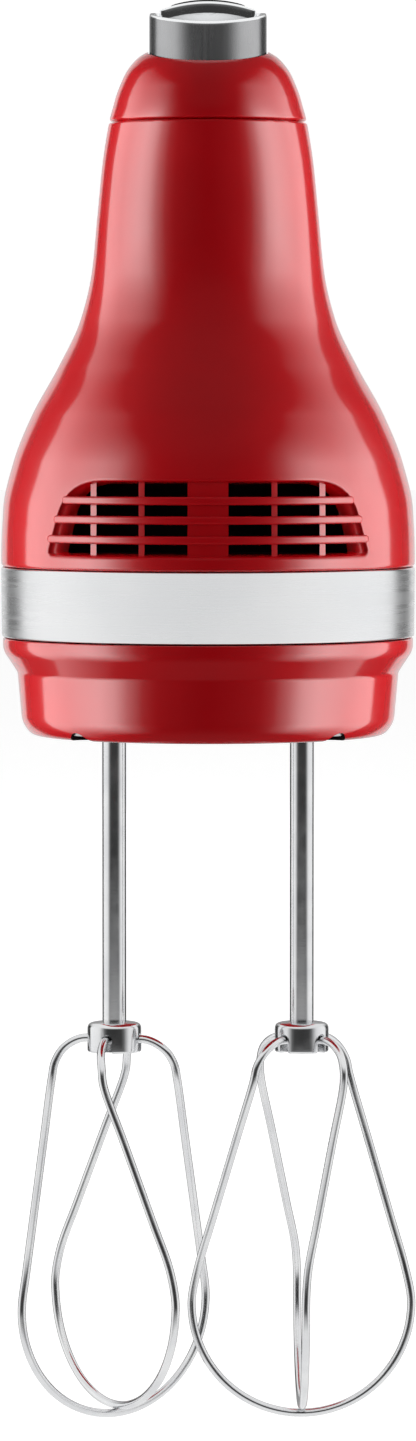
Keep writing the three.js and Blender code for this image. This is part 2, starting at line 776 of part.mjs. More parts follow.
// One wire of a beater: out of the hub, down in a straight line that sweeps round the axis, and round the bottom.
function wirePath(exitAngle, wideAngle, raise) {
  const { radius, middle, exitZ, lean } = LOOP;
  const z = middle + raise;
  const turn = exitAngle + (wideAngle > exitAngle ? 7 : -7);
  const arm = (half) => {
    const start = polar(13.6, turn + half, exitZ - 8.6);
    const tangent = THREE.MathUtils.degToRad(lean);
    const end = polar(radius * Math.cos(tangent), wideAngle + half, z + radius * Math.sin(tangent));
    return [
      polar(3, exitAngle + half, exitZ),
      polar(7.6, exitAngle + half, exitZ - 0.1),
      polar(11.2, exitAngle + half + (turn - exitAngle) * 0.3, exitZ - 2.2),
      polar(13, exitAngle + half + (turn - exitAngle) * 0.7, exitZ - 5.2),
      start,
      start.clone().lerp(end, 0.3),
      start.clone().lerp(end, 0.7),
      start.clone().lerp(end, 0.94),
    ];
  };
  const bottom = evenly(-1, 1, 13).map((t) => {
    const a = t * (Math.PI / 2 + 0.06);
    return polar(radius * Math.sin(a), wideAngle, z - radius * Math.cos(a));
  });
  return new THREE.CatmullRomCurve3([...arm(180), ...bottom, ...arm(0).reverse()]);
}

function beaterWire(x, exitAngle, wideAngle, raise) {
  return swept(wirePath(exitAngle, wideAngle, raise), WIRE_RADIUS, 6, 48).translate([x, 0, 0]);
}

function beaterShaft(x, lugAngle) {
  const bar = post(SHAFT_RADIUS, HUB.top + GAP, SHAFT_TOP, x, 0, 16);
  const lugs = new THREE.BoxGeometry(8.4, 1.5, 4).rotateZ(lugAngle).translate(x, 0, SPINDLE.low + 3);
  return bar.add(solid(lugs));
}

// The hub that grips the wires: a turned collar with a notch from below at each wire.
function beaterHub(x, exitAngle) {
  const { radius, top, bottom } = HUB;
  const collar = turned(
    [
      [0, bottom],
      [radius - 0.4, bottom],
      [radius, bottom + 0.5],
      [radius, top - 0.8],
      [radius - 0.8, top],
      [0, top],
    ],
    24,
  );
  const notches = [0, 90, 180, 270].map((quarter) => {
    const notch = new THREE.BoxGeometry(2.4, 6, 5).translate(0, -5, LOOP.exitZ + 1.2 - 2.5);
    return solid(notch.rotateZ(THREE.MathUtils.degToRad(exitAngle + quarter)));
  });
  return collar.subtract(join(...notches)).translate([x, 0, 0]);
}

const BEATERS = {
  left: { x: -BEATER_X, exit: -16, wide: 34 },
  right: { x: BEATER_X, exit: 47, wide: 1.5 },
};

// ---------------------------------------------------------------- the assembly
const mixer = new THREE.Group();
mixer.position.set(0, -GRIP.y, -GRIP.z);

function place(name, manifold, look) {
  const mesh = new THREE.Mesh(geometryOf(manifold), look);
  mesh.name = name;
  mixer.add(mesh);
}

function placeHousing() {
  place("lower_housing", lowerHousing(), LOOKS.red);
  place("trim_band", trimBand(), LOOKS.trim);
  place("upper_housing", upperHousing(), LOOKS.red);
  place("handle_cover", handleCover(), LOOKS.red);
  place("grip_insert", gripInsert(), LOOKS.grip);
  SCREWS.forEach(([x, y], i) => place(`housing_screw_${i + 1}`, housingScrew(x, y), LOOKS.steel));
  place("heel_pad_upper", heelPad(38.6, 53), LOOKS.rubber);
  place("heel_pad_lower", heelPad(4, 15), LOOKS.rubber);
}

function placeControls() {
  place("eject_button", ejectButton(), LOOKS.cap);
  place("ejector_rod", ejectorRod(), LOOKS.steel);
  place("ejector_fork", ejectorFork(), LOOKS.darkPlastic);
  place("ejector_spring", ejectorSpring(), LOOKS.steel);
  place("ejector_guide", ejectorGuide(), LOOKS.darkPlastic);
  place("switch_plate", switchPlate(), LOOKS.trim);
  place("speed_slider", speedSlider(), LOOKS.cap);
  place("contact_carriage", contactCarriage(), LOOKS.darkPlastic);
  place("selector_switch", selectorSwitch(), LOOKS.darkPlastic);
}

function placeGearbox() {
  place("gear_frame", gearFrame(), LOOKS.iron);
  for (const [side, { x, exit }] of Object.entries(BEATERS)) {
    const lugAngle = THREE.MathUtils.degToRad(exit);
    place(`${side}_spindle`, spindle(x, lugAngle), LOOKS.steel);
    place(`${side}_gear`, gear(x), LOOKS.nylon);
    place(`${side}_lower_bush`, bush(x, 10, 15), LOOKS.bronze);
    place(`${side}_upper_bush`, bush(x, 47, 52), LOOKS.bronze);
  }
}

function placeMotor() {
  place("motor_shaft", motorShaft(), LOOKS.steel);
  place("worm", worm(), LOOKS.steel);
  place("fan", fan(), LOOKS.darkPlastic);
  place("armature_core", armatureCore(), LOOKS.iron);
  place("armature_winding_front", ring(3 + GAP, 12.5, 43, STACK.front - GAP), LOOKS.copper);
  place("armature_winding_rear", ring(3 + GAP, 12.5, STACK.back + GAP, 83), LOOKS.copper);
  place("commutator", ring(3 + GAP, 10, 86, 98), LOOKS.copper);
  place("front_bearing", ring(2.5 + GAP, 7, -24, -18, 20), LOOKS.bronze);
  place("middle_bearing", ring(3 + GAP, 7, 19, 25, 20), LOOKS.bronze);
  place("rear_bearing", ring(3 + GAP, 8, 103, 109, 20), LOOKS.bronze);
  place("stator_core", statorCore(), LOOKS.iron);
  place("field_coil_top", fieldCoil(true), LOOKS.copper);
  place("field_coil_bottom", fieldCoil(false), LOOKS.copper);
  place("rear_bracket", rearBracket(), LOOKS.iron);
  for (const [side, sign] of Object.entries({ left: -1, right: 1 })) {
    place(`brush_holder_${side}`, brushHolder(sign), LOOKS.bronze);
    place(`brush_${side}`, brush(sign), LOOKS.carbon);
  }
}

function placeMainsSide() {
  place("cord_inlet", cordInlet(), LOOKS.rubber);
  place("cord_clamp", cordClamp(), LOOKS.darkPlastic);
  place("terminal_block", terminalBlock(), LOOKS.nylon);
  place("speed_board", speedBoard(), LOOKS.board);
}

function placeBeaters() {
  for (const [side, { x, exit, wide }] of Object.entries(BEATERS)) {
    place(`${side}_beater_shaft`, beaterShaft(x, THREE.MathUtils.degToRad(exit)), LOOKS.steel);
    place(`${side}_beater_hub`, beaterHub(x, exit), LOOKS.steel);
    place(`${side}_beater_outer_wire`, beaterWire(x, exit - 90, wide - 90, 0), LOOKS.steel);
    place(`${side}_beater_inner_wire`, beaterWire(x, exit, wide, 2 * WIRE_RADIUS + 0.1), LOOKS.steel);
  }
}

placeHousing();
placeControls();
placeGearbox();
placeMotor();
placeMainsSide();
placeBeaters();

export default mixer;
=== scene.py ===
"""Looks for the hand mixer: shells, metalwork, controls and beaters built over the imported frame.

Shapes are worked out in the deck frame, in millimetres: Z = 0 is the housing's flat underside, the
beater axes stand either side of X = 0 at Y = 0, the nose points along -Y and the heel along +Y.
"""

import json
import math

import bmesh
import bpy
import numpy as np
from mathutils import Matrix, Vector

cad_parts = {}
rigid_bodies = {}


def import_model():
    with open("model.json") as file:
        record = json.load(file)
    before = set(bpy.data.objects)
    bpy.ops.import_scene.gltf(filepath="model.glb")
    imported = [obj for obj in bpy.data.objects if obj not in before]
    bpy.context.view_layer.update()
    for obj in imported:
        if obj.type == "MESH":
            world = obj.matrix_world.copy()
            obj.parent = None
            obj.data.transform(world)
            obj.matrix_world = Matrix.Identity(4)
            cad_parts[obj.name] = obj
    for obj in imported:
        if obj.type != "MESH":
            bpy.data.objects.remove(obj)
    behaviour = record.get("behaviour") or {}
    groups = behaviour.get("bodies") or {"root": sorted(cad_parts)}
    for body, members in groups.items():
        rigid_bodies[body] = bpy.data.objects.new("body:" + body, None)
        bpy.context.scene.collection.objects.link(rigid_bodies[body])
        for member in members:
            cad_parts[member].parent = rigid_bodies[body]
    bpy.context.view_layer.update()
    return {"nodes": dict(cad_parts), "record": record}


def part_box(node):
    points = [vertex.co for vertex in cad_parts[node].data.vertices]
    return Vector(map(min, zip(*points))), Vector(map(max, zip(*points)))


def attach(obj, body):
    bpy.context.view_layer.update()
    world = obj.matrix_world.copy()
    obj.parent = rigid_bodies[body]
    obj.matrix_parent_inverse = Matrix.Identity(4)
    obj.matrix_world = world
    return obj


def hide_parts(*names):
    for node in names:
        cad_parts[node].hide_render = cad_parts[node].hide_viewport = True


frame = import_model()


# ---------------- places taken from the frame
def centre(node):
    low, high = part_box(node)
    return (low + high) / 2


DECK = Vector((0, centre("left_beater_hub").y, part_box("lower_housing")[0].z))


def extent(node):
    """A node's lowest and highest corners in deck-frame millimetres."""
    return [(np.array(corner) - np.array(DECK)) * 1000 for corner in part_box(node)]


BEATER_X = (centre("right_beater_hub").x - centre("left_beater_hub").x) * 500
HEEL_Y = extent("lower_housing")[1][1]
(_, NOSE_Y, BAND_LOW), (HALF_WIDTH, _, BAND_HIGH) = extent("trim_band")
SEAM_Z = 130.2  # between the upper housing and the handle cover
BODY_BACK = 158  # where the plan outline would end if the heel weren't cut flat
BODY_BLUNTNESS = 3.4  # power of the plan outline behind the nose, where 2 is an ellipse
CAMERA = {"distance": 1383, "height": 74.9, "lens": 162.4, "drop": math.atan(338.5 / 6500)}
FLOOR_Z = -147.8


def to_row(points):
    """Deck-frame millimetres to the row frame in metres."""
    return np.asarray(points, float) / 1000 + np.array(DECK)


# ---------------- node materials
class Shader:
    """One Principled material and short-hands for the texture nodes that feed it."""

    def __init__(self, name, colour, roughness, metallic=0.0, **sockets):
        self.material = bpy.data.materials.new(name)
        self.material.use_nodes = True
        self.tree = self.material.node_tree
        self.shader = self.tree.nodes["Principled BSDF"]
        self.shader.inputs["Base Color"].default_value = (*colour, 1)
        self.shader.inputs["Roughness"].default_value = roughness
        self.shader.inputs["Metallic"].default_value = metallic
        for socket, value in sockets.items():
            self.shader.inputs[socket.replace("_", " ")].default_value = value
        self.colour, self.roughness = colour, roughness
        self.height = None

    def node(self, kind, **inputs):
        made = self.tree.nodes.new("ShaderNode" + kind)
        for name, value in inputs.items():
            socket = made.inputs[name]
            if isinstance(value, bpy.types.NodeSocket):
                self.tree.links.new(value, socket)
            else:
                socket.default_value = value
        return made

    def place(self, scale=(1, 1, 1)):
        """Object coordinates in metres, stretched by scale."""
        mapping = self.node("Mapping", Vector=self.node("TexCoord").outputs["Object"])
        mapping.inputs["Scale"].default_value = scale
        return mapping.outputs["Vector"]

    def noise(self, scale, stretch=(1, 1, 1), detail=2.0):
        made = self.node("TexNoise", Vector=self.place(stretch), Scale=scale, Detail=detail)
        return made.outputs["Fac"]

    def ranged(self, value, low, high, from_low=0.3, from_high=0.7):
        numbers = {"From Min": from_low, "From Max": from_high, "To Min": low, "To Max": high}
        return self.node("MapRange", Value=value, **numbers).outputs["Result"]

    def vary_roughness(self, value, low, high):
        self.tree.links.new(self.ranged(value, low, high), self.shader.inputs["Roughness"])
        return self

    def vary_colour(self, value, other, low=0.35, high=0.65):
        ramp = self.node("ValToRGB", Fac=value)
        for stop, place, colour in zip(ramp.color_ramp.elements, (low, high), (self.colour, other)):
            stop.position = place
            stop.color = (*colour, 1)
        self.tree.links.new(ramp.outputs["Color"], self.shader.inputs["Base Color"])
        return self

    def bump(self, value, depth):
        """Raises the surface by up to depth metres where value is high; calls add up."""
        made = self.node("Bump", Height=value, Strength=1.0, Distance=depth)
        if self.height:
            self.tree.links.new(self.height, made.inputs["Normal"])
        self.height = made.outputs["Normal"]
        self.tree.links.new(self.height, self.shader.inputs["Normal"])
        return self


def gloss_red():
    """Deep red gloss moulding: a clear skin with a faint orange peel and a little dust and handling haze."""
    s = Shader("gloss_red", (0.56, 0.0005, 0.005), 0.2, Coat_Weight=1.0, Coat_Roughness=0.035, Coat_IOR=1.6)
    s.vary_colour(s.noise(35, detail=3), (0.50, 0.0004, 0.004))
    s.vary_roughness(s.noise(60, detail=6), 0.16, 0.26)
    return s.bump(s.noise(420), 0.000012).bump(s.noise(60), 0.00002).material


def band_metal():
    """Satin waist band, finely brushed along its length."""
    s = Shader("band_metal", (0.84, 0.845, 0.85), 0.26, 1.0)
    brushed = s.noise(900, (0.02, 0.02, 1), detail=4)
    s.vary_colour(s.noise(40, detail=3), (0.79, 0.8, 0.81))
    s.vary_roughness(brushed, 0.22, 0.32)
    return s.bump(brushed, 0.000003).material


def button_metal():
    """Dark satin metal of the controls, finely brushed upwards."""
    s = Shader("button_metal", (0.42, 0.422, 0.428), 0.26, 1.0)
    brushed = s.noise(1400, (1, 1, 0.03), detail=3)
    s.vary_colour(s.noise(90, detail=3), (0.37, 0.372, 0.378))
    s.vary_roughness(brushed, 0.24, 0.29)
    return s.bump(brushed, 0.0000006).material


def chrome():
    """Polished plating with faint smudges."""
    s = Shader("chrome", (0.86, 0.87, 0.88), 0.08, 1.0)
    return s.vary_roughness(s.noise(120, detail=5), 0.04, 0.14).bump(s.noise(700), 0.000003).material


def polished_steel():
    """Drawn and polished beater steel: fine lines round the wire, faint smudges."""
    s = Shader("polished_steel", (0.74, 0.745, 0.75), 0.14, 1.0)
    drawn = s.noise(2600, (0.25, 0.25, 1), detail=2)
    s.vary_colour(s.noise(150, detail=4), (0.66, 0.665, 0.68))
    s.vary_roughness(s.noise(260, detail=5), 0.1, 0.22)
    return s.bump(drawn, 0.000003).material


def machined_steel():
    s = Shader("machined_steel", (0.5, 0.505, 0.51), 0.3, 1.0)
    s.vary_roughness(s.noise(900, (1, 1, 0.1), detail=3), 0.22, 0.42)
    return s.bump(s.noise(1200), 0.000005).material


def painted_shade_slot():
    """Painted shade: a near-black stand-in for the unlit inside of the housing, seen through the vents and in
    the pockets, bores and sockets cut into the shells.
    """
    s = Shader("painted_shade_inside", (0.006, 0.001, 0.0015), 0.85, Specular_IOR_Level=0.1)
    return s.vary_roughness(s.noise(200, detail=3), 0.8, 0.95).bump(s.noise(300), 0.00005).material


def moulded(name, colour, roughness, grain=0.00002, scale=700):
    """Moulded plastic or rubber with a spark-eroded grain."""
    s = Shader(name, colour, roughness)
    s.vary_colour(s.noise(80, detail=3), tuple(c * 0.85 for c in colour))
    s.vary_roughness(s.noise(300, detail=4), roughness * 0.9, min(1.0, roughness * 1.12))
    cells = s.node("TexVoronoi", Vector=s.place(), Scale=scale)
    return s.bump(cells.outputs["Distance"], grain).material


def cast_metal(name, colour, roughness):
    s = Shader(name, colour, roughness, 0.9)
    s.vary_roughness(s.noise(250, detail=5), roughness * 0.8, min(1.0, roughness * 1.2))
    s.vary_colour(s.noise(120, detail=4), tuple(c * 0.8 for c in colour))
    return s.bump(s.noise(500, detail=5), 0.00004).material


def wound_copper():
    """Enamelled wire laid side by side."""
    s = Shader("wound_copper", (0.52, 0.2, 0.08), 0.28, 0.9)
    wires = s.node("TexWave", Vector=s.place(), Scale=900.0, Distortion=0.6)
    s.vary_colour(wires.outputs["Fac"], (0.32, 0.1, 0.04), 0.2, 0.8)
    return s.bump(wires.outputs["Fac"], 0.00012).material


RED = gloss_red()
BAND = band_metal()
BUTTON = button_metal()
CHROME = chrome()
STEEL = polished_steel()
MACHINED = machined_steel()
# Near-black painted shade for the inside seen through the vents, and for the pockets, bores and sockets.
INSIDE = painted_shade_slot()
GRIP = moulded("soft_grip", (0.035, 0.036, 0.038), 0.62, 0.00003, 900)
RUBBER = moulded("black_rubber", (0.015, 0.015, 0.016), 0.7)
BLACK = moulded("black_plastic", (0.02, 0.02, 0.021), 0.42)
NYLON = moulded("nylon", (0.72, 0.7, 0.62), 0.4)
BOARD = moulded("board_green", (0.02, 0.16, 0.06), 0.35)
IRON = cast_metal("core_iron", (0.2, 0.205, 0.21), 0.5)
BRONZE = cast_metal("sintered_bronze", (0.45, 0.27, 0.12), 0.45)
COPPER = wound_copper()

NODE_MATERIALS = {
    "inner_steel": MACHINED,
    "core_iron": IRON,
    "bronze": BRONZE,
    "copper": COPPER,
    "inner_plastic": BLACK,
    "nylon": NYLON,
    "board_green": BOARD,
    "black_rubber": RUBBER,
}


def paint_inner_nodes():
    """Gives the CAD nodes that stay as they are their material, by the record's slot."""
    for part in frame["record"]["subparts"]:
        look = NODE_MATERIALS.get(part["material_slot"])
        if look:
            mesh = frame["nodes"][part["node"]].data
            mesh.materials.clear()
            mesh.materials.append(look)


# ---------------- making pieces
def mesh_of(name, points, faces, looks, face_look=None):
    mesh = bpy.data.meshes.new(name)
    mesh.from_pydata([tuple(p) for p in points], [], [tuple(map(int, f)) for f in faces])
    for look in looks:
        mesh.materials.append(look)
    if face_look is not None:
        mesh.polygons.foreach_set("material_index", np.asarray(face_look, np.int32))
    return mesh


def linked(name, data):
    obj = bpy.data.objects.new(name, data)
    bpy.context.scene.collection.objects.link(obj)
    return obj


def smooth(mesh, sharp=None):
    """Smooth shading, but for edges sharper than that angle."""
    mesh.polygons.foreach_set("use_smooth", np.ones(len(mesh.polygons), bool))
    if sharp:
        mesh.set_sharp_from_angle(angle=math.radians(sharp))


def piece(name, points, faces, looks, body, slot, replaces=(), face_look=None, sharp=None):
    """A smooth-shaded mesh from deck-frame millimetres, riding on a body."""
    looks = looks if isinstance(looks, (list, tuple)) else [looks]
    mesh = mesh_of(name, to_row(points), faces, looks, face_look)
    mesh.validate()
    smooth(mesh, sharp)
    obj = linked(name, mesh)
    finish_piece(obj, body, slot, replaces)
    return obj


def finish_piece(obj, body, slot, replaces=()):
    if replaces:
        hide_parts(*replaces)
    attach(obj, body)


def ring_faces(rings, count, closed_ends=(False, False), loop=False):
    """Quads between successive rings of count points, with optional end caps."""
    faces = []
    for r in range(rings if loop else rings - 1):
        low, high = r * count, ((r + 1) % rings) * count
        for i in range(count):
            j = (i + 1) % count
            faces.append((low + i, low + j, high + j, high + i))
    if closed_ends[0]:
        faces.append(tuple(reversed(range(count))))
    if closed_ends[1]:
        faces.append(tuple((rings - 1) * count + i for i in range(count)))
    return faces


def lofted(rings, closed_ends=(False, False), loop=False):
    rings = np.asarray(rings, float)
    return rings.reshape(-1, 3), ring_faces(len(rings), rings.shape[1], closed_ends, loop)


def stacked(outline, heights):
    """Rings of one flat outline at several heights."""
    return [np.column_stack([outline, np.full(len(outline), z)]) for z in heights]


def angles(count):
    return np.linspace(0, 2 * math.pi, count, endpoint=False)


def arc(centre_point, radius, start, end, count):
    """Points of an arc in a profile plane, angles in degrees."""
    a = np.radians(np.linspace(start, end, count))
    return np.stack([centre_point[0] + radius * np.cos(a), centre_point[1] + radius * np.sin(a)], 1)


def rounded_polyline(points, radius, count=5):
    """A polyline with each inner corner rounded; radius is one number or one for each inner corner."""
    points = np.asarray(points, float)
    radii = np.broadcast_to(radius, len(points) - 2)
    out = [points[0]]
    for a, b, c, r in zip(points, points[1:], points[2:], radii):
        cut = min(r, 0.49 * np.linalg.norm(a - b), 0.49 * np.linalg.norm(c - b))
        start = b + (a - b) / np.linalg.norm(a - b) * cut
        end = b + (c - b) / np.linalg.norm(c - b) * cut
        t = np.linspace(0, 1, count)[:, None]
        out.extend((1 - t) ** 2 * start + 2 * t * (1 - t) * b + t**2 * end)
    out.append(points[-1])
    return np.array(out)


def turned(profile, count=48, at=(0, 0)):
    """Rings of a turned piece standing on Z; profile holds (radius, height) pairs."""
    a = angles(count)
    rings = [
        np.stack([at[0] + r * np.cos(a), at[1] + r * np.sin(a), np.full(count, z)], 1) for r, z in profile
    ]
    return lofted(rings, (True, True))


def catmull_rom(points, per_span):
    """A centripetal curve through the points."""
    p = np.asarray(points, float)
    p = np.vstack([2 * p[0] - p[1], p, 2 * p[-1] - p[-2]])
    out = []
    for a, b, c, d in zip(p, p[1:], p[2:], p[3:]):
        k = np.cumsum([0, *(np.linalg.norm(v - u) ** 0.5 for u, v in ((a, b), (b, c), (c, d)))])
        t = np.linspace(k[1], k[2], per_span, endpoint=False)[:, None]
        ab = (k[1] - t) / (k[1] - k[0]) * a + (t - k[0]) / (k[1] - k[0]) * b
        bc = (k[2] - t) / (k[2] - k[1]) * b + (t - k[1]) / (k[2] - k[1]) * c
        cd = (k[3] - t) / (k[3] - k[2]) * c + (t - k[2]) / (k[3] - k[2]) * d
        abc = (k[2] - t) / (k[2] - k[0]) * ab + (t - k[0]) / (k[2] - k[0]) * bc
        bcd = (k[3] - t) / (k[3] - k[1]) * bc + (t - k[1]) / (k[3] - k[1]) * cd
        out.append((k[2] - t) / (k[2] - k[1]) * abc + (t - k[1]) / (k[2] - k[1]) * bcd)
    return np.vstack([*out, p[-2:-1]])


def swept(path, section):
    """Rings of a section (in the plane across the path) carried along it without twist."""
    path = np.asarray(path, float)
    along = np.gradient(path, axis=0)
    along /= np.linalg.norm(along, axis=1)[:, None]
    side = np.cross(along[0], (0.3, 0.2, 0.9))
    rings = []
    for point, tangent in zip(path, along):
        side = side - tangent * side.dot(tangent)
        side /= np.linalg.norm(side)
        up = np.cross(tangent, side)
        rings.append(point + section[:, :1] * side + section[:, 1:] * up)
    return lofted(rings, (True, True))


def circle(radius, count):
    a = angles(count)
    return np.stack([radius * np.cos(a), radius * np.sin(a)], 1)


def round_corners(outline, radius, count):
    """A closed convex outline with rounded corners."""
    ring = np.vstack([outline[-1:], outline, outline[:1]])
    out = []
    for a, b, c in zip(ring, ring[1:], ring[2:]):
        start = b + (a - b) / np.linalg.norm(a - b) * radius
        end = b + (c - b) / np.linalg.norm(c - b) * radius
        t = np.linspace(0, 1, count)[:, None]
        out.append((1 - t) ** 2 * start + 2 * t * (1 - t) * b + t**2 * end)
    return np.vstack(out)


def rounded_box(x0, x1, y0, y1, radius, count):
    return round_corners(np.array([(x0, y0), (x1, y0), (x1, y1), (x0, y1)], float), radius, count)


def grid_sheet(x, y):
    """Places over a grid, and the quads between them, which face +Z."""
    grid = np.stack(np.meshgrid(x, y, indexing="ij"), 2).reshape(-1, 2)
    n = len(y)
    corners = [(i * n + j, (i + 1) * n + j) for i in range(len(x) - 1) for j in range(n - 1)]
    return grid, [(a, b, b + 1, a + 1) for a, b in corners]


# ---------------- smooth profiles and the housing's form
class Profile:
    """A smooth curve of value against height that never overshoots its points."""

    def __init__(self, *pairs):
        self.at, self.value = np.array(pairs, float).T
        step = np.diff(self.at)
        slope = np.diff(self.value) / step
        self.slope = np.zeros(len(self.at))
        same = slope[1:] * slope[:-1] > 0
        w1, w2 = 2 * step[1:] + step[:-1], step[1:] + 2 * step[:-1]
        safe = np.where(same, slope[1:] * slope[:-1], 1)
        mean = (w1 + w2) * safe / (w1 * slope[1:] + w2 * slope[:-1] + np.where(same, 0, 1e9))
        self.slope[1:-1] = np.where(same, mean, 0)
        self.slope[0], self.slope[-1] = slope[0], slope[-1]

    def __call__(self, z):
        z = np.asarray(z, float)
        i = np.clip(np.searchsorted(self.at, z) - 1, 0, len(self.at) - 2)
        h = self.at[i + 1] - self.at[i]
        t = (z - self.at[i]) / h
        a, b, ma, mb = self.value[i], self.value[i + 1], self.slope[i] * h, self.slope[i + 1] * h
        inside = a + t * (ma + t * (3 * (b - a) - 2 * ma - mb + t * (ma + mb - 2 * (b - a))))
        beyond = np.where(t > 1, b + mb * (t - 1), a + ma * t)
        return np.where((t >= 0) & (t <= 1), inside, beyond)


COLUMN_WIDTH = Profile(
    (20, 44), (35, 44), (48, 43.6), (58, 41.4), (68, 37.4), (78, 31.9), (88, 27.2), (98, 24.8),
    (110, 23.6), (122, 22.4), (130.2, 21.1), (134.4, 20.3), (138, 20.05), (142, 20.7), (144.6, 22), (147, 23),
)
COLUMN_NOSE = Profile(
    (20, -47), (35, -47), (48, -46), (58, -43), (68, -37.5), (78, -30.5), (88, -24.2), (98, -19.8),
    (110, -17), (122, -16), (130.2, -15.8), (137, -14.4), (147, -13.8),
)
COLUMN_BACK = Profile(
    (20, 34), (70, 34), (84, 29), (100, 26), (112, 27), (124, 31), (136, 33), (147, 30)
)
DOME_NOSE = Profile((20, -47), (38, -47), (52, -43.5), (62, -38), (72, -31), (84, -24))
DOME_BACK = Profile((20, 158), (45, 158), (60, 170), (74, 190), (84, 195))
HANDLE = catmull_rom(  # the middle of the grip, forward and up, from the crown round to the heel
    [
        (4, 121), (14, 128.5), (32, 133.2), (65, 134.2), (93, 128), (115, 114), (127, 95), (132, 74), (132, 54)
    ],
    16,
)


def ring_radius(p, width, front, back, middle, blunt):
    """1 on a plan outline: half an ellipse at the nose, a blunter curve behind."""
    along = p[:, 1] - middle
    behind = along > 0
    reach = np.where(behind, back - middle, middle - front)
    power = np.where(behind, blunt, 2.0)
    return ((np.abs(p[:, 0]) / width) ** power + (np.abs(along) / reach) ** power) ** (1 / power)


FORM_LOW = 31.5  # the form runs on down behind the band to here


def column_middle(z):
    """Where the column is widest: it moves back towards the crown."""
    return np.interp(z, (35, 146), (0, 7))


def column_value(p):
    """The front column, rounding in to its crown over its last 20 mm."""
    z = p[:, 2]
    radius = ring_radius(p, COLUMN_WIDTH(z), COLUMN_NOSE(z), COLUMN_BACK(z), column_middle(z), 2.3)
    rise = np.clip((z - 128) / 19.5, 0, None)
    return (np.sqrt(radius**2 + rise**3.1) - 1) * COLUMN_WIDTH(z)


def dome_value(p):
    """The body behind the nose, rounding in to its top all the way from the band."""
    z = p[:, 2]
    held = np.minimum(z, 84)
    radius = ring_radius(p, HALF_WIDTH, DOME_NOSE(held), DOME_BACK(held), 0, BODY_BLUNTNESS)
    rise = np.clip((z - 35) / 48.6, 0, None)
    return (np.sqrt(radius**2 + rise**2.8) - 1) * HALF_WIDTH


def nearest_on_handle(q):
    """Distance from side-view points to the handle's path, and how far along it each is nearest."""
    coarse = ((q[:, None] - HANDLE[::8]) ** 2).sum(2).argmin(1) * 8
    index = np.clip(coarse[:, None] + np.arange(-9, 9), 0, len(HANDLE) - 2)
    start = HANDLE[index]
    span = HANDLE[index + 1] - start
    off = q[:, None] - start
    t = np.clip((off * span).sum(2) / (span**2).sum(2), 0, 1)
    gap = ((off - t[..., None] * span) ** 2).sum(2)
    rows = np.arange(len(q))
    best = gap.argmin(1)
    return np.sqrt(gap[rows, best]), (index[rows, best] + t[rows, best]) / (len(HANDLE) - 1)


def handle_value(p):
    """A rounded bar along the handle's path, widening down the rear column."""
    parts = [nearest_on_handle(p[i : i + 50000, 1:]) for i in range(0, len(p), 50000)]
    gap, share = (np.concatenate(part) for part in zip(*parts))
    wide = 19.3 + 11 * np.clip(share - 0.62, 0, 1) ** 1.2
    deep = 14.3 + 5.0 * np.clip(share - 0.6, 0, 1)
    radius = ((np.abs(p[:, 0]) / wide) ** 2.35 + (gap / deep) ** 2.35) ** (1 / 2.35)
    return (radius - 1) * deep


def sloped(value_of, p, step=0.01):
    """A field's value as a distance, and its unit gradient."""
    value = value_of(p)
    slope = np.stack([value_of(p + e) - value for e in np.eye(3) * step], 1) / step
    size = np.maximum(np.linalg.norm(slope, axis=1), 1e-6)
    return value / size, slope / size[:, None]


def blended(one, other, radius):
    """Joins two fields with a fillet that fades out where their surfaces run side by side."""
    (a, ga), (b, gb) = one, other
    k = radius * np.clip(1.1 * (1 - (ga * gb).sum(1)), 0, 1) + 1e-3
    h = np.clip(0.5 + 0.5 * (b - a) / k, 0, 1)
    gradient = gb * (1 - h[:, None]) + ga * h[:, None]
    gradient /= np.maximum(np.linalg.norm(gradient, axis=1), 1e-6)[:, None]
    return b * (1 - h) + a * h - k * h * (1 - h), gradient


def housing_field(p):
    body = blended(sloped(column_value, p), sloped(dome_value, p), 16)
    whole = blended(body, sloped(handle_value, p), 13)
    heel = p[:, 1] - HEEL_Y
    flat = (heel, np.broadcast_to((0.0, 1.0, 0.0), p.shape))
    value, gradient = blended((-whole[0], -whole[1]), (-flat[0], -flat[1]), 4)
    under = FORM_LOW - p[:, 2]
    gradient = np.where((under > -value)[:, None], (0, 0, -1.0), -gradient)
    return np.maximum(-value, under), gradient


def rough_field(p):
    value = np.minimum(np.minimum(column_value(p), dome_value(p)), handle_value(p))
    return np.maximum(np.maximum(value, p[:, 1] - HEEL_Y), FORM_LOW - p[:, 2])


def settle(points, rounds=3):
    for _ in range(rounds):
        value, gradient = housing_field(points)
        points = points - gradient * np.clip(value, -2, 2)[:, None]
    return points


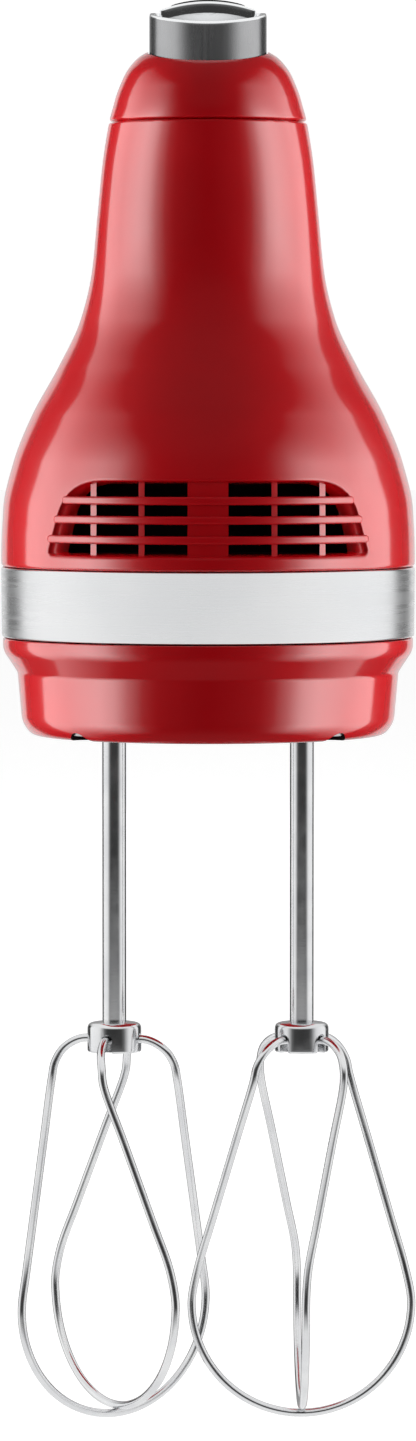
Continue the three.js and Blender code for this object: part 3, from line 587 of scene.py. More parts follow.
def surface_net(step):
    """Quads round the surface of the housing's field, from a grid of that step."""
    low = np.array([-48.0, -52.0, 30.0])
    count = np.ceil((np.array([48.0, HEEL_Y + 4, 153.0]) - low) / step).astype(int) + 1
    index = np.indices(count).reshape(3, -1).T
    grid = low + index * step
    value = rough_field(grid)
    band = (value > 0) & (value < 6)
    value[band] = housing_field(grid[band])[0]
    inside = (value < 0).reshape(count)
    number = np.full(count, -1)
    corners = sum(
        inside[i : count[0] - 1 + i, j : count[1] - 1 + j, k : count[2] - 1 + k].astype(int)
        for i in (0, 1) for j in (0, 1) for k in (0, 1)
    )
    cells = np.argwhere((corners > 0) & (corners < 8))
    number[tuple(cells.T)] = np.arange(len(cells))
    faces = []
    for axis in range(3):
        u, v = (axis + 1) % 3, (axis + 2) % 3
        near = np.take(inside, range(count[axis] - 1), axis)
        far = np.take(inside, range(1, count[axis]), axis)
        edges = np.argwhere(near != far)
        edges = edges[(edges[:, u] > 0) & (edges[:, v] > 0)]
        quad = []
        for du, dv in ((0, 0), (-1, 0), (-1, -1), (0, -1)):
            cell = edges.copy()
            cell[:, u] += du
            cell[:, v] += dv
            quad.append(number[tuple(cell.T)])
        quad = np.stack(quad, 1)
        flip = ~near[tuple(edges.T)]
        quad[flip] = quad[flip][:, ::-1]
        faces.append(quad)
    faces = np.vstack(faces)
    faces = faces[(faces >= 0).all(1)]
    return low + (cells + 0.5) * step, faces


def quad_edges(faces):
    return np.vstack([faces[:, [i, (i + 1) % 4]] for i in range(4)])


def neighbour_mean(points, pairs):
    """Each point's neighbours' average, for edges given as pairs of point numbers."""
    total = np.zeros_like(points)
    np.add.at(total, pairs[:, 0], points[pairs[:, 1]])
    np.add.at(total, pairs[:, 1], points[pairs[:, 0]])
    return total / np.bincount(pairs.ravel(), minlength=len(points))[:, None]


def relaxed(points, faces, rounds):
    """Evens out a quad mesh along its surface."""
    for _ in range(rounds):
        points = settle(neighbour_mean(points, quad_edges(faces)), 1)
    return settle(points, 2)


def subdivided(points, faces):
    """Each quad becomes four."""
    edges, inverse = np.unique(np.sort(quad_edges(faces), 1), axis=0, return_inverse=True)
    middle = inverse.reshape(4, -1).T + len(points)
    centres = np.arange(len(faces)) + len(points) + len(edges)
    made = np.vstack([points, points[edges].mean(1), points[faces].mean(1)])
    quads = [np.stack([faces[:, i], middle[:, i], centres, middle[:, i - 1]], 1) for i in range(4)]
    return made, np.vstack(quads)


def creased(points):
    """From 0 to 1 over the zone behind the handle's foot, where the fields meet in a crease."""
    y, z = points[:, 1], points[:, 2]
    return np.clip((y - 108) / 10, 0, 1) * np.clip((z - 46) / 8, 0, 1) * np.clip((104 - z) / 10, 0, 1)


def calmed(points, faces, rounds=10):
    """Evens out the crease behind the handle, and the few points elsewhere that never settle."""
    pairs = np.unique(np.sort(quad_edges(faces), 1), axis=0)
    stray = np.abs(housing_field(points)[0]) > 0.015
    for _ in range(2):
        stray[pairs[stray[pairs].any(1)].ravel()] = True
    weight = np.maximum(stray & (points[:, 2] > FORM_LOW + 4), creased(points))[:, None]
    for _ in range(rounds):
        points = points + weight * (neighbour_mean(points, pairs) - points)
    return points


# ---------------- cutters and cuts
def nose_y(x, z):
    """Where the nose's outer surface is, at a place across and up its face."""
    middle = column_middle(z)
    share = np.clip(np.abs(x) / COLUMN_WIDTH(z), 0, 0.999)
    return middle - (middle - COLUMN_NOSE(z)) * np.sqrt(1 - share**2)


VENT = {"low": 39.0, "high": 54.3, "half_low": 33.0, "half_high": 24.6}
VENT_BARS = ((50.4, 29.9), (46.4, 31.7), (42.3, 33.0))
VENT_RIBS = (-23.7, -13.7, 13.7, 23.7)
VENT_STEPS = (  # how far the outline grows, how far its ends pull in, and its depth behind the nose
    (1.5, 0, -20), (1.3, 0, -0.15), (0.75, 0, 0.0), (0.35, 0, 0.2), (0.1, 0, 0.6),
    (-0.1, 0.8, 1.4), (-0.4, 3.4, 2.5), (-0.5, 3.6, 8),
)


def vent_outline(grow=0.0, narrowed=0.0):
    """The vent's outline across and up the nose: a level sill, and shoulders that round in to the top."""
    low, high, wide, narrow = VENT["low"], VENT["high"], VENT["half_low"], VENT["half_high"]
    right = rounded_polyline([(0, low), (wide, low), (narrow + 4.4, high), (0, high)], (1.2, 7.5), 9)
    right = np.vstack([*(evenly_between(a, b) for a, b in zip(right, right[1:])), right[-1:]])
    ring = np.vstack([right, (right * (-1, 1))[::-1][1:-1]])
    along = np.roll(ring, -1, 0) - np.roll(ring, 1, 0)
    outward = np.stack([along[:, 1], -along[:, 0]], 1) / np.linalg.norm(along, axis=1)[:, None]
    return (ring + outward * grow) * (1 - narrowed / wide, 1)


def evenly_between(a, b, spacing=1.5):
    count = max(1, int(np.linalg.norm(np.subtract(b, a)) / spacing))
    return np.linspace(a, b, count, endpoint=False)


def vent_cutter():
    """A recess with a rounded lip and sloping ends; beyond the bars its deepest walls and back take the
    near-black painted shade.
    """
    rings = []
    for grow, narrowed, shift in VENT_STEPS:
        x, z = vent_outline(grow, narrowed).T
        rings.append(np.stack([x, nose_y(x, z) + shift, z], 1))
    points, faces = lofted(rings, (True, True))
    per_ring = len(rings[0])
    # The deepest ring of walls and the back cap take the near-black painted shade; the front cap does not.
    dark = [f >= 6 * per_ring and f != 7 * per_ring for f in range(len(faces))]
    return points, faces, dark


def button_outline(grow=0.0, count=72):
    """The eject button's plan: a half round at the nose, rounded corners at the back."""
    (_, front, _), (radius, back, _) = extent("eject_button")
    centre_y = front + radius
    nose = arc((0, centre_y), radius + grow, 180, 360, count)
    r, end, corner = radius + grow, back + grow, 4 + grow
    right = arc((r - corner, end - corner), corner, 0, 90, 12)
    left = arc((corner - r, end - corner), corner, 90, 180, 12)
    out = evenly_between((r, centre_y), (r, end - corner))
    across = evenly_between((r - corner, end), (corner - r, end))
    home = evenly_between((-r, end - corner), (-r, centre_y))
    return np.vstack([nose[:-1], out, right, across, left, home])


def button_cutter():
    """The pocket the eject button sinks into, deep enough for its 6 mm of travel; all its walls take the
    near-black painted shade.
    """
    pressed = extent("eject_button")[0][2] - 6.4
    points, faces = lofted(stacked(button_outline(0.4), (pressed, 170)), (True, True))
    return points, faces, [True] * len(faces)


def cord_bore():
    """The hole behind the cord gland, its walls in the near-black painted shade."""
    z = (centre("cord_inlet").z - DECK.z) * 1000
    ring = circle(4.6, 32)
    rings = [np.column_stack([ring[:, 0], np.full(32, y), z + ring[:, 1]]) for y in (HEEL_Y - 9, HEEL_Y + 6)]
    points, faces = lofted(rings, (True, True))
    return points, faces, [True] * len(faces)


def scratch_object(name, *what):
    return linked(name, mesh_of(name, *what))


def face_outwards(obj):
    bm = bmesh.new()
    bm.from_mesh(obj.data)
    bmesh.ops.recalc_face_normals(bm, faces=bm.faces)
    bm.to_mesh(obj.data)
    bm.free()


def cut_by(obj, cutters):
    """obj's mesh with each (points, faces, dark) cutter taken away; dark faces get the second material, the
    near-black painted shade.
    """
    face_outwards(obj)
    tools = []
    for points, faces, dark in cutters:
        tool = scratch_object("cutter", points, faces, [RED, INSIDE], dark)
        face_outwards(tool)
        change = obj.modifiers.new("cut", "BOOLEAN")
        change.operation, change.solver, change.object = "DIFFERENCE", "EXACT", tool
        change.material_mode = "TRANSFER"
        tools.append(tool)
    bpy.context.view_layer.update()
    made = bpy.data.meshes.new_from_object(obj.evaluated_get(bpy.context.evaluated_depsgraph_get()))
    for o in (*tools, obj):
        bpy.data.objects.remove(o)
    return made


def cut_piece(name, mesh, shift, sharp, *says):
    """A piece made from a cut mesh that is still in millimetres round shift."""
    obj = linked(name, mesh)
    mesh.transform(Matrix.Translation(DECK + Vector((shift / 1000, 0, 0))) @ Matrix.Scale(0.001, 4))
    smooth(mesh, sharp)
    finish_piece(obj, *says)


def slice_mesh(bm, height, clear_below=False):
    bmesh.ops.bisect_plane(
        bm, geom=bm.verts[:] + bm.edges[:] + bm.faces[:], dist=1e-4,
        plane_co=(0, 0, height), plane_no=(0, 0, 1), clear_inner=clear_below,
    )


# ---------------- upper housing and handle cover
# Distance from the seam, or up from the bottom edge, and how deep the skin sinks there.
GROOVE = ((0.0, 1.2), (0.13, 0.95), (0.24, 0.3), (0.42, 0.07), (0.75, 0.0))
LIP = ((0.0, 0.75), (0.12, 0.4), (0.32, 0.13), (0.62, 0.02), (1.0, 0.0))


def make_upper_shells():
    points, faces = surface_net(1.7)
    points = relaxed(points, faces, 5)
    points, faces = subdivided(points, faces)
    points = calmed(settle(points, 3), faces)
    whole = scratch_object("housing_form", points, faces, [RED, INSIDE])
    made = cut_by(whole, [vent_cutter(), button_cutter(), cord_bore()])
    bm = bmesh.new()
    bm.from_mesh(made)
    bottom = BAND_HIGH + 0.12
    slice_mesh(bm, bottom, clear_below=True)
    for offset, _ in LIP[1:]:
        slice_mesh(bm, bottom + offset)
    for offset, _ in GROOVE:
        for side in (1, -1) if offset else (1,):
            slice_mesh(bm, SEAM_Z + side * offset)
    split_shells(bm, bottom)
    bpy.data.meshes.remove(made)


def split_shells(bm, bottom):
    """Sinks the seam's groove and the bottom lip, then parts the form at the seam into two pieces."""
    bm.verts.ensure_lookup_table()
    at = np.array([v.co[:] for v in bm.verts])
    value, gradient = housing_field(at)
    skin = np.abs(value) < 0.06
    depth = np.interp(np.abs(at[:, 2] - SEAM_Z), *zip(*GROOVE))
    depth += np.interp(at[:, 2] - bottom, *zip(*LIP))
    depth[~skin] = 0
    moved = at - gradient * depth[:, None]
    exact = (np.abs(value) < 0.03) & (depth < 1e-4) & (creased(at) == 0)
    normals = np.where(exact[:, None], gradient, 0)
    triangles = [[v.index for v in f.verts] for f in bm.faces]
    looks = np.array([f.material_index for f in bm.faces])
    height = np.array([np.mean(at[f, 2]) for f in triangles])
    bm.free()
    for name, chosen in (("upper_housing_shell", height < SEAM_Z), ("handle_cover_shell", height > SEAM_Z)):
        kept = [f for f, c in zip(triangles, chosen) if c]
        used = np.unique(np.concatenate(kept))
        renumber = np.full(len(at), -1)
        renumber[used] = np.arange(len(used))
        node = name.removesuffix("_shell")
        obj = piece(
            name, moved[used], [renumber[f] for f in kept], [RED, INSIDE], "housing", "housing_red", [node],
            face_look=looks[chosen],
        )
        obj.data.normals_split_custom_set_from_vertices([tuple(n) for n in normals[used]])


def vent_bars():
    """Three rounded bars across the vent, level with the nose, over ribs and a post that are set back."""
    for i, (z, half) in enumerate(VENT_BARS):
        x = half * np.sin(np.linspace(-1, 1, 61) * math.pi / 2)
        path = np.stack([x, nose_y(x, z) + 1.15, np.full(61, z)], 1)
        section = rounded_box(-0.88, 0.88, -1.2, 1.2, 0.7, 6)
        along = np.gradient(path, axis=0)
        along /= np.linalg.norm(along, axis=1)[:, None]
        inward = np.cross((0, 0, 1.0), along)
        end = np.clip((half - np.abs(x)) / 0.8, 0, 1)
        taper = np.sqrt(1 - (1 - end) ** 2) * 0.98 + 0.02
        rings = [
            p + s * (section[:, :1] * np.array((0, 0, 1.0)) + section[:, 1:] * n)
            for p, n, s in zip(path, inward, taper)
        ]
        points, faces = lofted(rings, (True, True))
        piece(f"vent_bar_{i + 1}", points, faces, RED, "housing", "housing_red")
    for i, x in enumerate(VENT_RIBS):
        upright_strip(f"vent_rib_{i + 1}", x, 0.6, 1.4)
    upright_strip("vent_post", 0, 4.2, 1.0)


def upright_strip(name, x, half, set_back):
    z = np.linspace(VENT["low"] - 1, VENT["high"] + 1, 24)
    across = np.linspace(-half, half, 9)
    front = [np.stack([x + across, nose_y(x + across, h) + set_back, np.full(9, h)], 1) for h in z]
    rings = [np.vstack([row, row[::-1] + (0, 2.0, 0)]) for row in front]
    points, faces = lofted(rings, (True, True))
    piece(name, points, faces, RED, "housing", "housing_red", sharp=40)


# ---------------- band and lower housing
def plan_ring(inset, z, count=900):
    """The plan outline of the lower body at an inset, flat across the heel."""
    across, along = circle(1, count).T
    power = np.where(along > 0, 2 / BODY_BLUNTNESS, 1.0)
    x = (HALF_WIDTH - inset) * np.sign(across) * np.abs(across) ** power
    reach = np.where(along > 0, BODY_BACK - inset, NOSE_Y + inset)
    y = reach * np.abs(along) ** power
    heel = HEEL_Y - max(0, inset - 5.2)
    y = heel - 0.7 * np.log1p(np.exp((heel - y) / 0.7))
    return np.stack([x, y, np.full(count, z)], 1)


def resampled(ring, count=260):
    """The same closed ring with its points evenly spaced."""
    closed = np.vstack([ring, ring[:1]])
    run = np.concatenate([[0], np.cumsum(np.linalg.norm(np.diff(closed, axis=0), axis=1))])
    at = np.linspace(0, run[-1], count, endpoint=False)
    return np.stack([np.interp(at, run, closed[:, i]) for i in range(3)], 1)


def body_rings(profile):
    return [resampled(plan_ring(inset, z)) for inset, z in profile]


def make_band():
    low, high = BAND_LOW, BAND_HIGH
    corner = [(2.0, low + 1), (2.0, low), (0.12, low), (0.0, high), (2.0, high), (2.0, high - 1)]
    profile = rounded_polyline(corner, (0.2, 0.55, 0.55, 0.2), 6)
    points, faces = lofted(body_rings(profile), loop=True)
    piece("waist_band", points, faces, BAND, "housing", "trim_metal", ["trim_band"], sharp=60)


# The skirt's section from its top edge down and under: inset from the band's outline, and height.
SKIRT = ((3.2, 20.65), (0.35, 20.65), (0.35, 18.0), (3.45, 13.3), (4.4, 2.6), (6.4, 0.0), (9.0, 0.0))


def make_lower_housing():
    profile = rounded_polyline(SKIRT, (0.45, 1.5, 0.5, 1.9, 1.3), 8)
    points, faces = lofted(body_rings(profile)[::-1], (True, True))
    form = scratch_object("skirt_form", points, faces, [RED, INSIDE])
    sockets = [turned([(5.5, -4), (5.5, 9.0)], 48, at=(x, 0)) for x in (-BEATER_X, BEATER_X)]
    heads = []
    for i in range(1, 5):
        where = centre(f"housing_screw_{i}")
        heads.append(turned([(3.65, -4), (3.65, 4.2)], 32, at=(where.x * 1000, (where.y - DECK.y) * 1000)))
    # The beater sockets and the screw-head recesses take the near-black painted shade.
    made = cut_by(form, [(p, f, [True] * len(f)) for p, f in (*sockets, *heads)])
    cut_piece("lower_housing_shell", made, 0, 38, "housing", "housing_red", ["lower_housing"])


def make_screws():
    for i in range(1, 5):
        node = f"housing_screw_{i}"
        where = centre(node)
        x, y = where.x * 1000, (where.y - DECK.y) * 1000
        corner = [(0.0, 2.4), (0.4, 2.4), (0.9, 1.1), (3.1, 1.1), (3.1, 3.9), (1.4, 3.9), (1.4, 9)]
        profile = rounded_polyline(corner, 0.3, 4)
        points, faces = turned([(max(r, 0.02), z) for r, z in profile], 32, at=(x, y))
        piece(f"{node}_turned", points, faces, MACHINED, "housing", "inner_steel", [node], sharp=45)


# ---------------- heel, cord gland and grip pad
def make_heel_pads():
    for node in ("heel_pad_upper", "heel_pad_lower"):
        (_, _, z0), (half, back, z1) = extent(node)
        outline = rounded_box(-half, half, z0, z1, 3, 8)
        middle = outline.mean(0)
        rings = []
        steps = ((0, 2.6), (0, 0.5), (0.2, 0.2), (0.55, 0.0), (2.2, 0.0), (2.6, 0.25), (3.2, 0.25))
        for shrink, depth in steps:
            size = 1 - shrink / np.abs(outline - middle).max(0)
            flat = middle + (outline - middle) * size
            rings.append(np.stack([flat[:, 0], np.full(len(flat), back - depth), flat[:, 1]], 1))
        points, faces = lofted(rings[::-1], (True, True))
        piece(f"{node}_moulded", points, faces, RUBBER, "housing", "black_rubber", [node], sharp=50)


def make_cord_gland():
    (_, y0, _), (outer, y1, _) = extent("cord_inlet")
    z = (centre("cord_inlet").z - DECK.z) * 1000
    corner = [(4, y0 + 2), (4, y1 + 1.2), (6.1, y1 + 1.2), (outer + 0.6, y1 - 1.2), (outer + 0.6, y0 + 2)]
    profile = rounded_polyline(corner, (0.6, 0.9, 1.2), 6)
    x, up = circle(1, 64).T
    rings = [np.stack([r * x, np.full(64, y), z + r * up], 1) for r, y in profile]
    points, faces = lofted(rings, loop=True)
    piece("cord_gland", points, faces, RUBBER, "housing", "black_rubber", ["cord_inlet"], sharp=50)


def make_grip_pad():
    """The soft pad under the handle: shallow finger ribs, and an edge that dives into the shell."""
    (_, y0, _), (half, y1, _) = extent("grip_insert")
    x, y = np.linspace(-half, half, 56), np.linspace(y0, y1, 150)
    grid, faces = grid_sheet(x, y)
    path_z = np.interp(grid[:, 1], HANDLE[:, 0], HANDLE[:, 1])
    start = np.column_stack([grid, path_z - 14.4])
    skin = start.copy()
    for _ in range(4):
        value, gradient = sloped(handle_value, skin)
        skin[:, 2] -= value / np.minimum(gradient[:, 2], -0.3)
    edge = np.minimum(x[-1] - np.abs(grid[:, 0]), np.minimum(grid[:, 1] - y[0], y[-1] - grid[:, 1]))
    rise = -0.5 + 1.25 * np.clip(edge / 1.1, 0, 1) ** 0.5
    ribs = 0.22 * np.cos(grid[:, 1] * 2 * math.pi / 3.2) * np.clip((edge - 2.5) / 2, 0, 1)
    points = skin + gradient * (rise + ribs)[:, None]
    downwards = [(a, d, c, b) for a, b, c, d in faces]
    piece("grip_pad", points, downwards, GRIP, "housing", "grip_rubber", ["grip_insert"])


# ---------------- eject button and speed control
CAP_FRONT = extent("eject_button")[0][1]
CAP_RIM = (  # inset from the outline, and height over the rim's own slope
    (0, -1.6), (0, -0.9), (0, -0.42), (0.06, -0.2), (0.22, -0.05),
    (0.5, 0.0), (1.0, 0.0), (1.25, -0.08), (1.4, -0.25),
)
RIDGE = {"half": 10.4, "front": 7.5, "back": 12.2, "top": 155.9, "sag": 1.8, "deep": 4.2}


def button_top(y):
    """Height of the button's rim: it slopes up from the nose, then levels."""
    climb = 0.24 * (y - CAP_FRONT)
    return 150.65 + 4.0 * (1 - np.exp(-climb / 3.7))


def dish_height(flat):
    """The button's hollow: it climbs from the front lip to the foot of the thumb ridge."""
    x, y = flat.T
    foot = 153.5 - 1.6 * (x / 10.2) ** 2
    lip = 150.3
    share = np.clip((y - CAP_FRONT - 1.4) / (RIDGE["front"] - CAP_FRONT - 1.4), 0, 1)
    return lip + (foot - lip) * share**0.9 - 0.2 * np.sin(math.pi * share)


def make_eject_button():
    outline = button_outline()
    low = extent("eject_button")[0][2]
    middle = np.array([0, outline[:, 1].mean()])
    reach = outline - middle
    span = np.abs(reach).max()
    rings = stacked(outline, (low,))
    for inset, drop in CAP_RIM:
        flat = middle + reach * (1 - inset / span)
        rings.append(np.column_stack([flat, button_top(flat[:, 1]) + drop]))
    for inset in np.linspace(1.6, span - 0.3, 18):
        flat = middle + reach * (1 - inset / span)
        rings.append(np.column_stack([flat, dish_height(flat)]))
    points, faces = lofted(rings, (False, True))
    looks = [1 if f // len(outline) >= 3 else 0 for f in range(len(faces))]
    metals, stands_for = [BUTTON, CHROME], ["eject_button"]
    piece("eject_cap", points, faces, metals, "ejector", "control_metal", stands_for, face_look=looks, sharp=60)
    arched_ridge("eject_thumb_ridge", CHROME, "ejector", **RIDGE)


def arched_ridge(name, look, body, half, front, back, top, sag, deep):
    """A block across the handle whose top is arched from side to side, with rounded edges."""
    x = np.linspace(-half, half, 49)
    crest = top - sag * (x / half) ** 2
    fall = np.sqrt(np.clip(1 - ((np.abs(x) - half + 0.7) / 0.7).clip(0, 1) ** 2, 0, 1))
    outline = rounded_box(front, back, -deep, 0, 0.55, 6)
    rings = []
    for across, high, f in zip(x, crest, fall):
        shrink = 0.35 * (1 - f)
        y = np.clip(outline[:, 0], front + shrink, back - shrink)
        z = high + np.minimum(outline[:, 1], -shrink)
        rings.append(np.stack([np.full(len(y), across), y, z], 1))
    points, faces = lofted(rings, (True, True))
    piece(name, points, faces, look, body, "control_metal", sharp=60)


def make_switch_plate():
    """A plate with a slot for the knob's stem, and a tick mark beside it for each speed."""
    (_, y0, _), (half, y1, top) = extent("switch_plate")
    outline = rounded_box(-half, half, y0, y1, 4, 10)
    slot_ring = rounded_box(-2.4, 2.4, y0 + 3.2, y1 - 4.2, 2.3, 10)
    middle = outline.mean(0)
    rings = []
    for shrink, drop in ((0, 5), (0, 0.8), (0.12, 0.35), (0.4, 0.08), (0.8, 0)):
        rings += stacked(middle + (outline - middle) * (1 - shrink / half), (top - drop,))
    rings += stacked(slot_ring + np.sign(slot_ring - slot_ring.mean(0)) * 0.25, (top,))
    rings += stacked(slot_ring, (top - 0.2, top - 4))
    points, faces = lofted(rings)
    piece("switch_plate_shell", points, faces, CHROME, "housing", "trim_metal", ["switch_plate"], sharp=40)
    slider = (centre("speed_slider").y - DECK.y) * 1000
    for i in range(6):
        y = slider - 3 * i
        mark = rounded_box(7.6, 9.4, y - 0.3, y + 0.3, 0.2, 4)
        points, faces = lofted(stacked(mark, (top - 0.4, top + 0.04)), (True, True))
        piece(f"speed_mark_{i}", points, faces, BLACK, "housing", "trim_metal")


def make_speed_slider():
    """A crowned block with rounded edges and grooves across its top, clear of the tick marks."""
    (_, y0, _), (half, y1, top) = extent("speed_slider")
    foot = extent("switch_plate")[1][2] + 0.12
    grid, faces = grid_sheet(np.linspace(-half, half, 45), np.linspace(y0, y1, 65))
    u = np.abs(grid[:, 0]) / half
    v = np.abs(grid[:, 1] - (y0 + y1) / 2) / ((y1 - y0) / 2)
    side = 1 - (u**8 + v**8) ** (1 / 8)
    crown = top + 0.6 - 1.45 * u**2
    groove = 0.45 * np.exp(-(((((grid[:, 1] - y0) % 3.2) - 1.6) / 0.5) ** 2))
    crown -= groove * (u < 0.86) * (v < 0.8)
    z = crown - 1.6 * (1 - np.sqrt(1 - (1 - np.clip(side / 0.13, 0, 1)) ** 2))
    z = np.where(side <= 0.004, foot, z)
    points = np.column_stack([grid, z])
    piece("speed_knob", points, faces, BLACK, "speed_control", "control_metal", ["speed_slider"], sharp=70)


# ---------------- beaters
HUB_TOP, HUB_LOW, HUB_RADIUS = -61.8, -67.9, 5.75
WIRE_RADIUS = 0.87
LOOP = {"radius": 23.5, "middle": -122.1, "exit": -65.2, "lean": math.radians(14)}
# Which side of the middle, the turn of the first wire's exit, and where its loop is widest, in degrees.
BEATERS = {"left": (-1, -16, 34), "right": (1, 47, 1.5)}


def polar(radius, degrees, z):
    """A point at a radius, an angle from straight ahead (towards +X) and a height."""
    a = math.radians(degrees)
    return np.array([radius * math.sin(a), -radius * math.cos(a), z])


def wire_path(leaves, widest, raised):
    """Out of the hub, down in a line that sweeps round the axis, round the bottom, and back up."""
    radius, lean = LOOP["radius"], LOOP["lean"]
    z, top = LOOP["middle"] + raised, LOOP["exit"]
    turn = leaves + (7 if widest > leaves else -7)
    arms = []
    for half in (180, 0):
        start = polar(13.6, turn + half, top - 8.6)
        end = polar(radius * math.cos(lean), widest + half, z + radius * math.sin(lean))
        bend = [polar(2.0, leaves + half, top), polar(7.6, leaves + half, top - 0.1)]
        bend += [polar(11.2, leaves + half + (turn - leaves) * 0.3, top - 2.2)]
        bend += [polar(13, leaves + half + (turn - leaves) * 0.7, top - 5.2), start]
        arms.append(bend + [start + (end - start) * t for t in (0.3, 0.7, 0.94)])
    bottom = [
        polar(radius * math.sin(a), widest, z - radius * math.cos(a))
        for a in np.linspace(-1, 1, 21) * (math.pi / 2 + 0.06)
    ]
    return catmull_rom([*arms[0], *bottom, *reversed(arms[1])], 8)


def make_beater(side):
    sign, leaves, widest = BEATERS[side]
    x, body = sign * BEATER_X, f"{side}_beater"
    for kind, turn, raised in (("outer", -90, 0), ("inner", 0, 2 * WIRE_RADIUS + 0.06)):
        path = wire_path(leaves + turn, widest + turn, raised) + (x, 0, 0)
        points, faces = swept(path, circle(WIRE_RADIUS, 14))
        node = f"{body}_{kind}_wire"
        piece(f"{node}_drawn", points, faces, STEEL, body, "beater_steel", [node], sharp=70)
    make_hub(side, x, leaves)
    top = (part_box(f"{body}_shaft")[1].z - DECK.z) * 1000
    corner = [(0.0, top), (1.6, top), (2.55, top - 1.6), (2.55, HUB_TOP - 0.4), (0.0, HUB_TOP - 0.4)]
    profile = [(0.02, top), *rounded_polyline(corner, (0.4, 0.4, 0.1), 4)[1:-1], (0.02, HUB_TOP - 0.4)]
    points, faces = turned(profile[::-1], 40, at=(x, 0))
    piece(f"{body}_shaft_turned", points, faces, STEEL, body, "beater_steel", [f"{body}_shaft"], sharp=40)


def make_hub(side, x, leaves):
    """A turned collar with an arched notch from below over each wire."""
    body = f"{side}_beater"
    corner = [(0.02, HUB_LOW), (HUB_RADIUS, HUB_LOW), (HUB_RADIUS, HUB_TOP)]
    corner += [(2.6, HUB_TOP + 0.5), (0.02, HUB_TOP + 0.5)]
    profile = rounded_polyline(corner, (0.5, 1.1, 0.4), 6)
    points, faces = turned(profile, 64)
    hub = scratch_object("hub_form", points, faces, [STEEL, INSIDE])
    cutters = []
    for quarter in range(4):
        a = math.radians(leaves + 90 * quarter)
        out = np.array([math.sin(a), -math.cos(a), 0])
        side_way = np.array([math.cos(a), math.sin(a), 0])
        top = LOOP["exit"] + 0.25
        outline = [(-1.15, HUB_LOW - 1), (1.15, HUB_LOW - 1), *arc((0, top), 1.15, 0, 180, 12)]
        rings = [[r * out + s * side_way + np.array((0, 0, z)) for s, z in outline] for r in (2.4, 9)]
        cut_points, cut_faces = lofted(rings, (True, True))
        cutters.append((cut_points, [f[::-1] for f in cut_faces], [False] * len(cut_faces)))
    made = cut_by(hub, cutters)
    made.materials.clear()
    made.materials.append(STEEL)
    made.polygons.foreach_set("material_index", np.zeros(len(made.polygons), np.int32))
    cut_piece(f"{body}_hub_turned", made, x, 35, body, "beater_steel", [f"{body}_hub"])


# ---------------- floor, light and camera
STAGE_RADIUS = 12.0  # metres, so that the views from further off still stand on the floor


def plain_material(name, colour, roughness, glow=0.0):
    s = Shader(name, colour, roughness)
    s.shader.inputs["Emission Color"].default_value = (1, 1, 1, 1)
    s.shader.inputs["Emission Strength"].default_value = glow
    return s.bump(s.noise(60, detail=4), 0.0001).material


def staged_mesh(name, points, faces, look, **visible):
    """A stage piece; visible switches off the kinds of ray that don't see it."""
    mesh = mesh_of(name, points, faces, [look])
    smooth(mesh)
    obj = linked(name, mesh)
    for ray, seen in visible.items():
        setattr(obj, f"visible_{ray}", seen)
    return obj


def make_stage():
    """A pale floor and backdrop, which the camera sees; the light comes from the domes inside them."""
    z = FLOOR_Z / 1000 + DECK.z
    rim = stacked(circle(STAGE_RADIUS, 96), (z,))[0]
    floor = plain_material("pale_floor", (0.12, 0.12, 0.12), 0.6, 0.95)
    staged_mesh("floor", rim, [tuple(range(96))], floor, diffuse=False, glossy=False, shadow=False)
    profile = [(STAGE_RADIUS, z - 9.0), (STAGE_RADIUS, 3.0), (10.2, 7.8), (6.0, 11.4), (0.01, 12.6)]
    points, faces = lofted([stacked(circle(r, 96), (h,))[0] for r, h in profile])
    sky = plain_material("pale_backdrop", (0.8, 0.8, 0.8), 0.9, 1.0)
    staged_mesh("backdrop", points, faces, sky, diffuse=False, glossy=False, shadow=False, transmission=False)


# Glow against azimuth in degrees from straight ahead, the same to left and right.
PANELS = (
    (0, 0), (34, 0.01), (43, 0.05), (53, 0.32), (63, 0.85), (74, 1), (86, 0.82), (98, 0.62),
    (122, 0.5), (125, 0.01), (150, 0.01), (153, 0.2),
)
FILL_PANELS = ((0, 0), (80, 0), (95, 1), (125, 1), (135, 0))
METAL_PANELS = (
    (0, 0.02), (30, 0.03), (42, 0.12), (54, 0.5), (66, 0.88), (100, 1),
    (122, 1), (125, 0.02), (150, 0.02), (153, 0.3),
)
BAND_PANELS = ((0, 0.8), (40, 0.84), (100, 1), (128, 1), (131, 0.1), (151, 0.1), (153, 0.85))


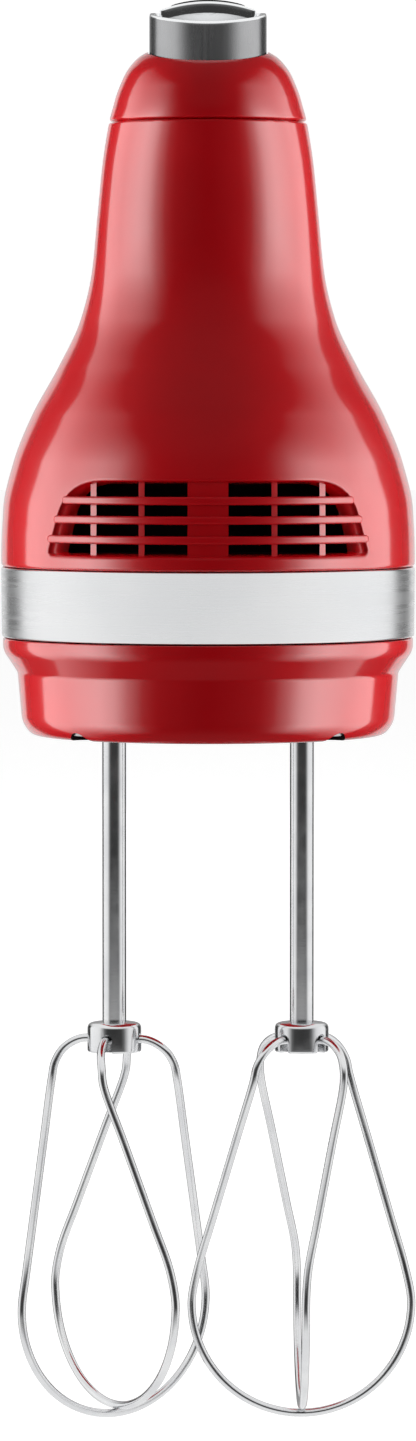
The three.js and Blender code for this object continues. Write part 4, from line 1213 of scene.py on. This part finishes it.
def light_dome(name, radius, radiance, panels, level, caps):
    """A see-through dome that glows by azimuth from straight ahead, and by height.

    level and caps are (sine of elevation where it starts to change, where it has changed, what it
    changes to): level fades the azimuth's glow, and caps lights the top and the bottom.
    """
    s = Shader(name, (0, 0, 0), 1.0)
    place = s.node("SeparateXYZ", Vector=s.place((1 / radius, 1 / radius, 1 / radius))).outputs

    def maths(operation, *values):
        made = s.node("Math")
        made.operation = operation
        for socket, value in zip(made.inputs, values):
            if isinstance(value, bpy.types.NodeSocket):
                s.tree.links.new(value, socket)
            else:
                socket.default_value = value
        return made.outputs["Value"]

    azimuth = maths("ARCTAN2", maths("ABSOLUTE", place["X"]), maths("MULTIPLY", place["Y"], -1.0))
    ramp = s.node("ValToRGB", Fac=maths("DIVIDE", azimuth, math.pi))
    stops = ramp.color_ramp.elements
    while len(stops) < len(panels):
        stops.new(0.5)
    for stop, (degrees, glow) in zip(stops, panels):
        stop.position = degrees / 180
        stop.color = (glow, glow, glow, 1)
    height = maths("ABSOLUTE", place["Z"])
    faded = s.ranged(height, 1.0, level[2], level[0], level[1])
    overhead = s.ranged(height, 0.0, caps[2], caps[0], caps[1])
    glow = maths("MAXIMUM", maths("MULTIPLY", ramp.outputs["Color"], faded), overhead)
    light = s.node("Emission", Strength=maths("MULTIPLY", glow, radiance))
    both = s.node("AddShader")
    s.tree.links.new(light.outputs[0], both.inputs[0])
    s.tree.links.new(s.node("BsdfTransparent").outputs[0], both.inputs[1])
    s.tree.links.new(both.outputs[0], s.tree.nodes["Material Output"].inputs["Surface"])
    tilt = np.radians(np.linspace(-89.9, 89.9, 49))
    rings = [stacked(circle(math.cos(t), 96), (math.sin(t),))[0] for t in tilt]
    points, faces = lofted(rings, (True, True))
    dome = staged_mesh(name, points * radius, faces, s.material, camera=False, shadow=False)
    dome.location = DECK
    return dome


def lights_only(light, wanted):
    """Links a light to the pieces whose material is wanted."""
    group = bpy.data.collections.new(f"{light.name}_receivers")
    for obj in bpy.context.scene.objects:
        if obj.type == "MESH" and obj.data.materials and wanted(obj.data.materials[0]):
            group.objects.link(obj)
    light.light_linking.receiver_collection = group


def make_lights():
    metals = (STEEL, CHROME, BUTTON, MACHINED)
    body_light = light_dome("body_light", 2.0, 3.3, PANELS, (0.35, 0.8, 0.0), (0.5, 1.0, 0.02))
    side_fill = light_dome("side_fill", 2.3, 4.2, FILL_PANELS, (0.35, 0.8, 0.0), (0.5, 1.0, 0.0))
    side_fill.visible_glossy = False
    metal_light = light_dome("metal_light", 2.1, 1.12, METAL_PANELS, (0.3, 0.6, 0.9), (0.2, 0.5, 0.9))
    band_light = light_dome("band_light", 2.2, 1.0, BAND_PANELS, (0.5, 1.0, 1.0), (0.5, 1.0, 0.8))
    for light in (body_light, side_fill):
        lights_only(light, lambda look: look not in (*metals, BAND))
    lights_only(metal_light, lambda look: look in metals)
    lights_only(band_light, lambda look: look == BAND)
    world = bpy.data.worlds.new("studio")
    world.use_nodes = True
    world.node_tree.nodes["Background"].inputs["Color"].default_value = (1, 1, 1, 1)
    world.node_tree.nodes["Background"].inputs["Strength"].default_value = 0.02
    bpy.context.scene.world = world


def make_camera():
    data = bpy.data.cameras.new("camera")
    data.lens = CAMERA["lens"]
    data.clip_start, data.clip_end = 0.05, 40
    obj = linked("camera", data)
    obj.location = DECK + Vector((0, -CAMERA["distance"], CAMERA["height"])) / 1000
    obj.rotation_euler = (math.pi / 2 - CAMERA["drop"], 0, 0)
    bpy.context.scene.camera = obj


make_camera()
paint_inner_nodes()
make_upper_shells()
vent_bars()
make_band()
make_lower_housing()
make_screws()
make_heel_pads()
make_cord_gland()
make_grip_pad()
make_eject_button()
make_switch_plate()
make_speed_slider()
for side in BEATERS:
    make_beater(side)
make_stage()
make_lights()
bpy.context.scene.view_settings.view_transform = "Standard"
